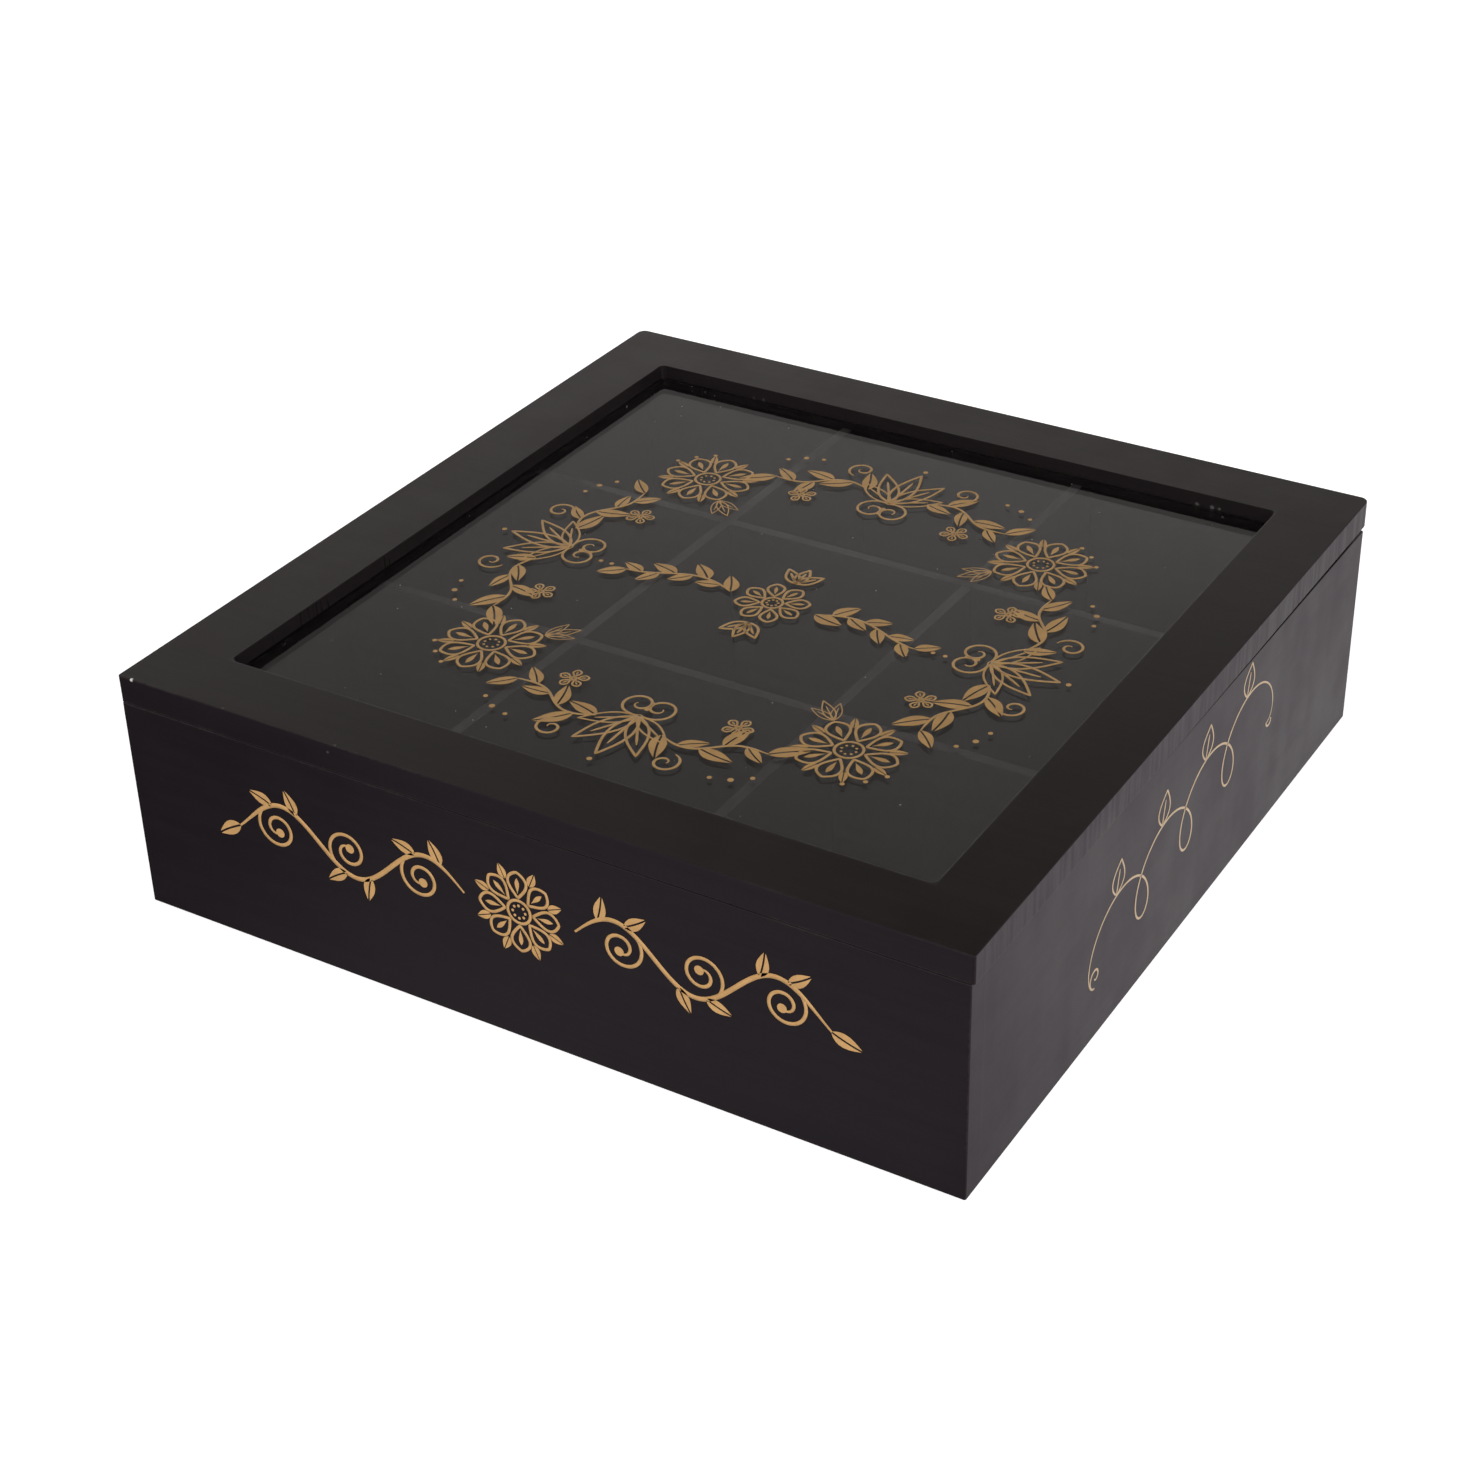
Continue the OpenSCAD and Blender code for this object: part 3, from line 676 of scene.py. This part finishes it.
def vine_tree(line, leaf):
    """A stem along every run of edges, with leaves to either side in turn."""
    takes = {
        "Geometry": (GEOMETRY, None),
        "Line": LINE,
        "Film": FILM,
        "Spacing": (FLOAT, 7 * MM),
        "Leaf": (FLOAT, 10 * MM),
        "Leaf width": (FLOAT, 4.6 * MM),
        "Open": (FLOAT, 0.8),
        "Bend": (FLOAT, 1 * MM),
        "Drawn": ("NodeSocketBool", False),
        "Seed": (INTEGER, 1),
        "Ink": (MATERIAL, None),
    }
    tree, taken, given = new_group("leafy vine", "GeometryNodeTree", takes, {"Geometry": GEOMETRY})
    curve = put(tree, "GeometryNodeMeshToCurve", {0: taken["Geometry"]}).outputs[0]
    stem = drawn(tree, line, taken, curve, Taper=0.5)
    joints_on = put(tree, "GeometryNodeCurveToPoints", {"Curve": curve, "Length": taken["Spacing"]},
                    mode="LENGTH")
    odd = calc(tree, "MODULO", put(tree, "GeometryNodeInputIndex").outputs[0], 2.0)
    side = calc(tree, "MULTIPLY_ADD", odd, 2.0, -1.0)
    turn = heading(tree, joints_on.outputs["Tangent"], calc(tree, "MULTIPLY", side, taken["Open"]))
    size = put(tree, "FunctionNodeRandomValue", {2: 0.82, 3: 1.12, "Seed": taken["Seed"]}).outputs[1]
    outer = []
    for way in (1.0, -1.0):
        sizes = {"Length": taken["Leaf"], "Width": taken["Leaf width"], "Line": taken["Line"],
                 "Film": taken["Film"], "Drawn": taken["Drawn"],
                 "Bend": calc(tree, "MULTIPLY", taken["Bend"], -way)}
        one = use(tree, leaf, **sizes)["Mesh"]
        chosen = put(tree, "FunctionNodeCompare", {0: side, 1: 0.0},
                     operation="GREATER_THAN" if way > 0 else "LESS_THAN").outputs[0]
        feeds = {"Points": joints_on.outputs["Points"], "Selection": chosen, "Instance": one,
                 "Rotation": turn, "Scale": size}
        outer.append(put(tree, "GeometryNodeInstanceOnPoints", feeds).outputs[0])
    finish_tree(tree, taken, given, [stem, *outer])
    return tree


def places_tree(name, motif, numbers):
    """A motif at every vertex of the carrier, turned and sized by the vertex's own values."""
    takes = {"Geometry": (GEOMETRY, None), **numbers, "Ink": (MATERIAL, None)}
    tree, taken, given = new_group(name, "GeometryNodeTree", takes, {"Geometry": GEOMETRY})
    feeds = {label.replace(" ", "_"): taken[label] for label in numbers}
    one = use(tree, motif, **feeds)["Mesh"]
    turn = put(tree, "GeometryNodeInputNamedAttribute", {"Name": "turn"}, data_type="FLOAT").outputs[0]
    size = put(tree, "GeometryNodeInputNamedAttribute", {"Name": "size"}, data_type="FLOAT").outputs[0]
    feeds = {"Points": taken["Geometry"], "Instance": one, "Rotation": about_z(tree, turn), "Scale": size}
    placed = put(tree, "GeometryNodeInstanceOnPoints", feeds).outputs[0]
    finish_tree(tree, taken, given, [placed])
    return tree


def dot_group():
    """A round dot of ink."""
    tree, taken, given = new_group("ink dot", "GeometryNodeTree", DOT_SIZES, {"Mesh": GEOMETRY})
    tree.links.new(disc(tree, 14, taken["Radius"], taken["Film"]), given.inputs["Mesh"])
    return tree


ink_line = line_group()
blade_outline = blade_group()
ink_leaf = leaf_group(blade_outline, ink_line)
ink_blossom = blossom_group(blade_outline, ink_line)
strokes = stroke_tree(ink_line)
leafy_vine = vine_tree(ink_line, ink_leaf)
blossoms = places_tree("blossoms", ink_blossom, BLOSSOM_SIZES)
dots = places_tree("dots", dot_group(), DOT_SIZES)
leaves = places_tree("leaves", ink_leaf, LEAF_SIZES)


def carrier(runs):
    """A wire mesh that carries paths, each a list of flat points in millimetres."""
    points, edges = [], []
    for run in runs:
        first = len(points)
        points += [(x * MM, y * MM, 0) for x, y in run]
        edges += [(first + k, first + k + 1) for k in range(len(run) - 1)]
    mesh = bpy.data.meshes.new("carrier")
    mesh.from_pydata(points, edges, [])
    return mesh


def places(spots):
    """A mesh of loose vertices, each with its turn and size: (x, y, turn in degrees, size)."""
    mesh = bpy.data.meshes.new("places")
    mesh.from_pydata([(x * MM, y * MM, 0) for x, y, _, _ in spots], [], [])
    turns = [math.radians(turn) for _, _, turn, _ in spots]
    sizes = [size for _, _, _, size in spots]
    for label, values in (("turn", turns), ("size", sizes)):
        mesh.attributes.new(label, "FLOAT", "POINT").data.foreach_set("value", values)
    return mesh


def grown(mesh, tree, **sizes):
    """Runs a tree on a mesh and gives back the plain mesh that it grows."""
    holder = bpy.data.objects.new("holder", mesh)
    bpy.context.scene.collection.objects.link(holder)
    modifier = holder.modifiers.new("growth", "NODES")
    modifier.node_group = tree
    named = {label.replace("_", " "): value for label, value in sizes.items()}
    for item in tree.interface.items_tree:
        if item.item_type == "SOCKET" and item.in_out == "INPUT" and item.name in named:
            modifier[item.identifier] = named[item.name]
    holder.update_tag()
    graph = bpy.context.evaluated_depsgraph_get()
    plain = bpy.data.meshes.new_from_object(holder.evaluated_get(graph))
    bpy.data.objects.remove(holder)
    return plain


def printed(name, parts, ink, place, body):
    """Joins the parts of a print, lays it on its surface and lets it ride on the body."""
    form = bmesh.new()
    for part in parts:
        form.from_mesh(part)
    bmesh.ops.transform(form, matrix=place, verts=form.verts)
    mesh = bpy.data.meshes.new(name)
    form.to_mesh(mesh)
    form.free()
    mesh.materials.clear()
    mesh.materials.append(ink)
    mesh.polygons.foreach_set("material_index", [0] * len(mesh.polygons))
    piece = bpy.data.objects.new(name, mesh)
    bpy.context.scene.collection.objects.link(piece)
    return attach(piece, body)


def polar(radius, degrees, cx=0.0, cy=0.0):
    """A flat point at a radius and an angle from a centre."""
    return cx + radius * math.cos(math.radians(degrees)), cy + radius * math.sin(math.radians(degrees))


def curl(x, y, start, radius, turns, steps=40, shrink=0.12):
    """A spiral that leaves a point at a heading and winds in, to the left for a radius above 0."""
    run = [(x, y)]
    angle = math.radians(start)
    way = math.copysign(1.0, radius)
    for k in range(steps):
        share = (k + 0.5) / steps
        arc = abs(radius) * (1 - (1 - shrink) * share)
        angle_step = 2 * math.pi * turns / steps
        length = arc * angle_step
        angle += way * angle_step / 2
        x += length * math.cos(angle)
        y += length * math.sin(angle)
        angle += way * angle_step / 2
        run.append((x, y))
    return run


GARLAND_RADIUS = 74.5
QUARTERS = range(0, 360, 90)
DIAGONALS = range(45, 360, 90)


def at_angle(degrees, outward=0.0, turn=0.0, size=1.0):
    """A motif's place on the garland, turned to face outward."""
    return *polar(GARLAND_RADIUS + outward, degrees), degrees + turn, size


def garland_stems():
    """Stems that leave each palmette to both sides with a gentle wave and end by a blossom."""
    steps = 24
    runs = []
    for middle in QUARTERS:
        for way in (-1, 1):
            run = []
            for k in range(steps + 1):
                share = k / steps
                radius = GARLAND_RADIUS - 5 + 4 * share + 2.4 * math.sin(2 * math.pi * share)
                run.append(polar(radius, middle + way * (8 + 22 * share)))
            runs.append(run)
    return runs


def garland_curls():
    """A pair of curls under each palmette and a smaller pair over each stem."""
    runs = []
    for middle in QUARTERS:
        for way in (-1, 1):
            base = polar(GARLAND_RADIUS - 11, middle)
            runs.append(curl(*base, middle + way * 62, way * 5.2, 1.5, 50))
            stem = polar(GARLAND_RADIUS + 2, middle + way * 13)
            runs.append(curl(*stem, middle + way * 75, -way * 4.2, 1.35))
    return runs


def fans():
    """The outlined leaves of the palmettes, by place, and the pendants under the blossoms."""
    wide = ((0, 1.0), (-31, 0.94), (31, 0.94), (-60, 0.78), (60, 0.78))
    narrow = ((180, 0.5), (152, 0.42), (208, 0.42))
    spots = [at_angle(a, -10, turn, size) for a in QUARTERS for turn, size in wide]
    return spots + [at_angle(a, -14, turn, size) for a in DIAGONALS for turn, size in narrow]


def around(x, y, reach, count, first=0.0):
    """Places in a ring about a point, each facing outward."""
    turns = [first + 360 * k / count for k in range(count)]
    return [(*polar(reach, t, x, y), t, 1.0) for t in turns]


def lid_spray(side):
    """A stem that leaves the middle rosette to one side in a shallow wave."""
    start, reach, rise, steps = 13, 31, 3, 24
    run = []
    for k in range(steps + 1):
        share = k / steps
        run.append((side * (start + reach * share), rise * math.sin(math.pi * 1.5 * share)))
    return run


def lid_berries():
    """Dots about the palmettes and over the blossoms."""
    by_palmette = ((-24, 10.5, 1), (24, 10.5, 1), (-27.5, 9.5, 0.8), (27.5, 9.5, 0.8), (-20.5, 10, 0.8),
                   (20.5, 10, 0.8), (0, 11.5, 0.9), (0, -14, 0.9), (0, -17, 0.7))
    over_blossom = ((0, 14.5), (3.6, 14), (-3.6, 14))
    berries = [at_angle(a + d, out, 0, size) for a in QUARTERS for d, out, size in by_palmette]
    return berries + [at_angle(a + d, out, 0, 0.8) for a in DIAGONALS for d, out in over_blossom]


def lid_ornament(ink):
    """The garland on the glass, with a rosette and sprays in the middle."""
    line = 0.75 * MM
    berry = 0.8 * MM
    sepals = []
    for angle in DIAGONALS:
        sepals += around(*polar(GARLAND_RADIUS, angle), 9.8, 8, angle + 22.5)
    florets = [at_angle(a + d, -12.5, 0, 1) for a in QUARTERS for d in (-23, 23)]
    buds = [(0, side * 12, side * 90 + turn, 1) for side in (-1, 1) for turn in (-42, 0, 42)]
    spray_ends = [(x, -2.4, 0, 0.8) for x in (-49, -52.5, 49, 52.5)]
    return [
        grown(carrier(garland_stems()), leafy_vine, Leaf=9.2 * MM, Leaf_width=3.6 * MM, Spacing=5.3 * MM,
              Open=0.85, Bend=1.2 * MM, Line=line, Seed=3, Ink=ink),
        grown(carrier(garland_curls()), strokes, Line=line, Taper=0.5, Ink=ink),
        grown(places([at_angle(a) for a in DIAGONALS]), blossoms, Petals=8, Core=4.4 * MM, Petal=8.8 * MM,
              Breadth=6.2 * MM, Line=line, Ink=ink),
        grown(places(sepals), leaves, Length=4.6 * MM, Width=1.9 * MM, Line=0.4 * MM, Ink=ink),
        grown(places(fans()), leaves, Length=19 * MM, Width=6.2 * MM, Line=line, Drawn=True, Ink=ink),
        grown(places(florets), blossoms, Petals=5, Core=1 * MM, Petal=3 * MM, Breadth=2.2 * MM,
              Line=0.55 * MM, Ink=ink),
        grown(places(lid_berries()), dots, Radius=berry, Ink=ink),
        grown(carrier([lid_spray(-1), lid_spray(1)]), leafy_vine, Leaf=8 * MM, Leaf_width=3.7 * MM,
              Spacing=4.4 * MM, Open=0.75, Bend=1 * MM, Line=line, Seed=4, Ink=ink),
        grown(places([(0, 0, 22.5, 1)]), blossoms, Petals=8, Core=3.4 * MM, Petal=6.6 * MM, Breadth=4.6 * MM,
              Line=line, Ink=ink),
        grown(places(buds), leaves, Length=8 * MM, Width=3.6 * MM, Line=line, Drawn=True, Ink=ink),
        grown(places(spray_ends), dots, Radius=berry, Ink=ink),
    ]


SCROLL_START = 16.0
SCROLL_PITCH = 22.0
SCROLL_HIGH = 7.0
SCROLLS = 3
# Where a volute leaves the stem, in pitches past the last crossing
VOLUTE_SHARE = 0.72
# The length of the stem, in pitches
STEM_REACH = SCROLL_PITCH * (SCROLLS + 0.15)


def scroll_point(x):
    """The height of the front's running stem at a distance along it."""
    return SCROLL_HIGH * math.sin(math.pi * x / SCROLL_PITCH)


def front_stems():
    """The running stem to either side of the blossom."""
    steps = 72
    run = [(STEM_REACH * k / steps, scroll_point(STEM_REACH * k / steps)) for k in range(steps + 1)]
    return [[(side * (SCROLL_START + x), y) for x, y in run] for side in (-1, 1)]


def front_volutes():
    """A spiral that leaves the stem past every crest and winds into the hollow under it."""
    runs = []
    for k in range(SCROLLS):
        up = 1 if k % 2 == 0 else -1
        x = SCROLL_PITCH * (k + VOLUTE_SHARE)
        slope_here = math.degrees(math.atan(math.pi * SCROLL_HIGH / SCROLL_PITCH
                                            * math.cos(math.pi * VOLUTE_SHARE)))
        run = curl(SCROLL_START + x, 0, slope_here, -6.2, 1.55, 60, 0.2)
        run = [(px, up * (py + abs(scroll_point(x)))) for px, py in run]
        runs += [[(side * px, py) for px, py in run] for side in (-1, 1)]
    return runs


def front_leaves():
    """Leaves on the outer side of every crest, and a bud at each end."""
    spots = []
    for k in range(SCROLLS):
        up = 1 if k % 2 == 0 else -1
        for share, turn in ((0.3, 72), (0.64, 26)):
            x = SCROLL_PITCH * (k + share)
            spots.append((SCROLL_START + x, scroll_point(x), up * turn, 1.0))
    spots.append((SCROLL_START + STEM_REACH, scroll_point(STEM_REACH), -25, 1.15))
    mirrored = [(-x, y, 180 - turn, size) for x, y, turn, size in spots]
    return spots + mirrored


def front_ornament(ink):
    """A bold running scroll on the front, about a blossom in the middle."""
    ends = [run[-1] for run in front_volutes()]
    return [
        grown(carrier(front_stems()), strokes, Line=1.3 * MM, Taper=0.55, Ink=ink),
        grown(carrier(front_volutes()), strokes, Line=0.95 * MM, Taper=0.4, Ink=ink),
        grown(places(front_leaves()), leaves, Length=7 * MM, Width=3 * MM, Line=0.7 * MM, Bend=0.8 * MM,
              Ink=ink),
        grown(places([(x, y, 0, 1) for x, y in ends]), dots, Radius=1.3 * MM, Ink=ink),
        grown(places([(0, 0, 0, 1)]), blossoms, Petals=8, Core=4 * MM, Petal=7.4 * MM, Breadth=5.4 * MM,
              Line=0.8 * MM, Ink=ink),
        grown(places(around(0, 0, 9.2, 8, 22.5)), leaves, Length=4.2 * MM, Width=2.2 * MM, Line=0.4 * MM,
              Ink=ink),
    ]


def side_ornament(ink):
    """A thin looping line that rises along the right side, with leaves in outline."""
    loops, steps, radius = 4, 240, 9.5
    length, rise, low = 106, 18, -9
    run = []
    for k in range(steps + 1):
        share = k / steps
        phase = 2 * math.pi * loops * share
        run.append((-length / 2 + length * share - radius * math.sin(phase),
                    low + rise * share - radius * math.cos(phase)))
    tails = [curl(*run[0], 172, -3.4, 1.2), curl(*run[-1], -72, 2.6, 0.6)]
    sprigs = []
    for k in range(loops):
        share = (k + 0.5) / loops
        sprigs.append((-length / 2 + length * share - 3, low + rise * share + radius, 78, 1))
    return [
        grown(carrier([run, *tails]), strokes, Line=0.65 * MM, Taper=0.3, Ink=ink),
        grown(places(sprigs), leaves, Length=9.5 * MM, Width=7 * MM, Line=0.55 * MM, Drawn=True, Ink=ink),
    ]


def ornament():
    """All three prints on their surfaces."""
    on_glass_lift, on_wall_lift = 0.004 * MM, 0.01 * MM
    beside_middle, before_middle = 1.05 * MM, -4 * MM
    front_height, side_height = 38 * MM, 34 * MM
    low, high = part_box("glass_pane")
    glass_x = (low.x + high.x) / 2
    pane = max((closed_to_level @ v.co).z for v in nodes["glass_pane"].data.vertices)
    lid_ink = gold_ink("gold ink on glass", (0.355, 0.205, 0.064, 1), (0.29, 0.163, 0.048, 1), True)
    wall_ink = gold_ink("gold ink on wood", (0.60, 0.345, 0.13, 1), (0.50, 0.28, 0.10, 1))
    line_ink = gold_ink("pale gold ink on wood", (0.62, 0.465, 0.30, 1), (0.52, 0.375, 0.24, 1))
    middle = Matrix.Translation((glass_x + beside_middle, before_middle, pane + on_glass_lift))
    printed("lid_print", lid_ornament(lid_ink), lid_ink, level_to_closed @ middle, "lid")
    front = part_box("front_wall")[0].y
    on_front = Matrix.Translation((0, front + on_wall_lift, front_height))
    on_front = on_front @ Matrix.Rotation(math.pi / 2, 4, "X")
    printed("front_print", front_ornament(wall_ink), wall_ink, on_front, "box")
    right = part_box("right_wall")[1].x
    upright = Euler((math.pi / 2, 0, math.pi / 2)).to_matrix().to_4x4()
    on_side = Matrix.Translation((right - on_wall_lift, 0, side_height)) @ upright
    printed("side_print", side_ornament(line_ink), line_ink, on_side, "box")


# The box itself

def dress_box():
    """Materials for every CAD node."""
    dress("front_wall", spotted(black_paint("front_wall", ALONG_X), WALL_CHIPS, PAINT_DARK))
    dress("back_wall", black_paint("back_wall", ALONG_X))
    for name in ("left_wall", "right_wall"):
        dress(name, black_paint(name, ALONG_Y))
    dress("lid_board", lid_paint())
    for side, grain in (("left", ALONG_Y), ("right", ALONG_Y), ("front", ALONG_X), ("back", ALONG_X)):
        divider, strip = side + "_divider", side + "_strip"
        dress(divider, black_paint(divider, grain, ior=1.25, inner=1.0))
        dress(strip, black_paint(strip, grain, True, roughness=0.45, inner=1.0))
    dress("bottom_panel", black_paint("bottom_panel", ALONG_X, roughness=0.5, inner=1.0))
    dress("glass_pane", window_glass())
    brass = hinge_brass()
    for side in ("left", "right"):
        dress(side + "_hinge_box_leaf", brass)
        dress(side + "_hinge_lid_leaf", brass)
    dress("box_screws", brass)
    dress("lid_screws", brass)
    wire = drawn_wire()
    for name in ("left_hinge_pin", "right_hinge_pin", "corner_brads", "bottom_brads", "strip_pins"):
        dress(name, wire)


# Floor, light and camera

def seen_directly(tree):
    """1 for rays that look, reflect or pass through, 0 for those that only light things."""
    path = put(tree, "ShaderNodeLightPath").outputs
    looks = calc(tree, "MAXIMUM", path["Is Camera Ray"], path["Is Glossy Ray"])
    return calc(tree, "MAXIMUM", looks, path["Is Transmission Ray"])


FLOOR_WHITE = (0.84, 0.84, 0.84, 1)
FLOOR_DIM = (0.45, 0.45, 0.45, 1)
# The strength at which the floor clips to white in the camera and through glass, with its shadow kept
FLOOR_GLOW = 0.55


def white_floor():
    """A white sweep that keeps the object's shadow, with softer pools of light for what mirrors it."""
    mesh = bpy.data.meshes.new("floor")
    reach = 12.0
    mesh.from_pydata([(sx * reach, sy * reach, -0.1 * MM) for sx, sy in ((-1, -1), (1, -1), (1, 1), (-1, 1))],
                     [], [(0, 1, 2, 3)])
    floor = bpy.data.objects.new("floor", mesh)
    bpy.context.scene.collection.objects.link(floor)
    material, tree, shader = new_material("white sweep")
    shader.inputs["Roughness"].default_value = 1.0
    shader.inputs["Specular IOR Level"].default_value = 0.0
    shader.inputs["Emission Color"].default_value = (1, 1, 1, 1)
    x, y, _ = split(tree, object_place(tree))
    path = put(tree, "ShaderNodeLightPath").outputs
    to_the_left = ramp(tree, x, -0.16, -0.05, 1.0, 0.0)
    dimmed = calc(tree, "MULTIPLY", path["Is Glossy Ray"], to_the_left)
    tree.links.new(blend_colours(tree, dimmed, FLOOR_WHITE, FLOOR_DIM), shader.inputs["Base Color"])
    before = ramp(tree, x, -0.14, 0.01, 0.0, 0.45)
    beside = calc(tree, "ADD", ramp(tree, y, -0.15, 0.0, 0.05, 0.5), ramp(tree, y, 0.06, 0.22, 0.0, -0.18))
    is_beside = ramp(tree, x, 0.1, 0.13)
    pool = put(tree, "ShaderNodeMix", {0: is_beside, 2: before, 3: beside}, data_type="FLOAT").outputs[0]
    mirrored = calc(tree, "MULTIPLY", path["Is Glossy Ray"], pool)
    plain = calc(tree, "MAXIMUM", path["Is Camera Ray"], path["Is Transmission Ray"])
    plain = calc(tree, "MULTIPLY", plain, FLOOR_GLOW)
    tree.links.new(calc(tree, "MAXIMUM", mirrored, plain), shader.inputs["Emission Strength"])
    mesh.materials.append(material)


# What the room gives to rays that only light things, and its colour away from the horizon
ROOM_FILL = 0.35
ROOM_TINT = (1, 0.95, 0.92, 1)


def surroundings():
    """A pale room: white at the horizon, darker overhead, with a window to the far left."""
    world = bpy.data.worlds.new("pale room")
    bpy.context.scene.world = world
    world.use_nodes = True
    tree = world.node_tree
    tree.nodes.clear()
    direction = put(tree, "ShaderNodeTexCoord").outputs["Generated"]
    x, _, z = split(tree, direction)
    wall = ramp(tree, z, 0.2, 0.42, 1.0, 0.42)
    dome = ramp(tree, z, 0.42, 0.6, 0.0, -0.14, smooth=False)
    left = ramp(tree, x, -0.6, -0.35, -0.08, 0.0)
    window = calc(tree, "MULTIPLY", ramp(tree, x, -0.66, -0.6, 1.0, 0.0), ramp(tree, z, 0.6, 0.85, 1.0, 0.0))
    right = calc(tree, "MULTIPLY", ramp(tree, x, -0.38, -0.3, 0.0, -0.05), ramp(tree, z, 0.46, 0.53))
    seen = calc(tree, "ADD", calc(tree, "ADD", wall, dome), left)
    seen = calc(tree, "ADD", seen, calc(tree, "ADD", window, right))
    lit = put(tree, "ShaderNodeMix", {0: seen_directly(tree), 2: ROOM_FILL, 3: seen}, data_type="FLOAT")
    looked_at = put(tree, "ShaderNodeLightPath").outputs["Is Camera Ray"]
    strength = put(tree, "ShaderNodeMix", {0: looked_at, 2: lit.outputs[0], 3: 1.0}, data_type="FLOAT")
    warm = calc(tree, "MULTIPLY", ramp(tree, z, 0.25, 0.42), calc(tree, "SUBTRACT", 1.0, looked_at))
    colour = blend_colours(tree, warm, (1, 1, 1, 1), ROOM_TINT)
    back = put(tree, "ShaderNodeBackground", {"Color": colour, "Strength": strength.outputs[0]})
    out = put(tree, "ShaderNodeOutputWorld")
    tree.links.new(back.outputs[0], out.inputs["Surface"])


def lamp(name, toward, distance, size, power, colour=(1, 1, 1)):
    """A soft oblong lamp that faces the box from a direction."""
    data = bpy.data.lights.new(name, "AREA")
    data.color = colour
    data.shape = "RECTANGLE"
    data.size, data.size_y = size
    data.energy = power
    made = bpy.data.objects.new(name, data)
    direction = Vector(toward).normalized()
    made.location = direction * distance + Vector((0, 0, 0.03))
    made.rotation_euler = direction.to_track_quat("Z", "Y").to_euler()
    made.visible_camera = False
    bpy.context.scene.collection.objects.link(made)


def lights():
    """A soft key from the front right, a weaker lamp from the right and a low one behind to the left."""
    lamp("key", (0.3, -0.75, 0.6), 3.0, (2.0, 2.0), 58)
    lamp("side", (0.9, 0.1, 0.45), 3.0, (1.7, 1.7), 28)
    lamp("back strip", (-0.45, 0.85, 0.22), 2.2, (1.8, 0.5), 5.6, (1, 0.93, 0.9))


CAMERA_PLACE = (0.326467, -0.541112, 0.415668)
CAMERA_TURN = (58.799, 0.2019, 29.5886)
CAMERA_LENS = 66.416
CAMERA_SHIFT = (-0.06353, -0.02651)


def camera():
    """The camera where the photograph was taken from."""
    data = bpy.data.cameras.new("camera")
    data.lens = CAMERA_LENS
    data.shift_x, data.shift_y = CAMERA_SHIFT
    made = bpy.data.objects.new("camera", data)
    made.location = CAMERA_PLACE
    made.rotation_euler = [math.radians(a) for a in CAMERA_TURN]
    bpy.context.scene.collection.objects.link(made)
    bpy.context.scene.camera = made


dress_box()
ornament()
white_floor()
surroundings()
lights()
camera()
bpy.context.scene.view_settings.view_transform = "Standard"
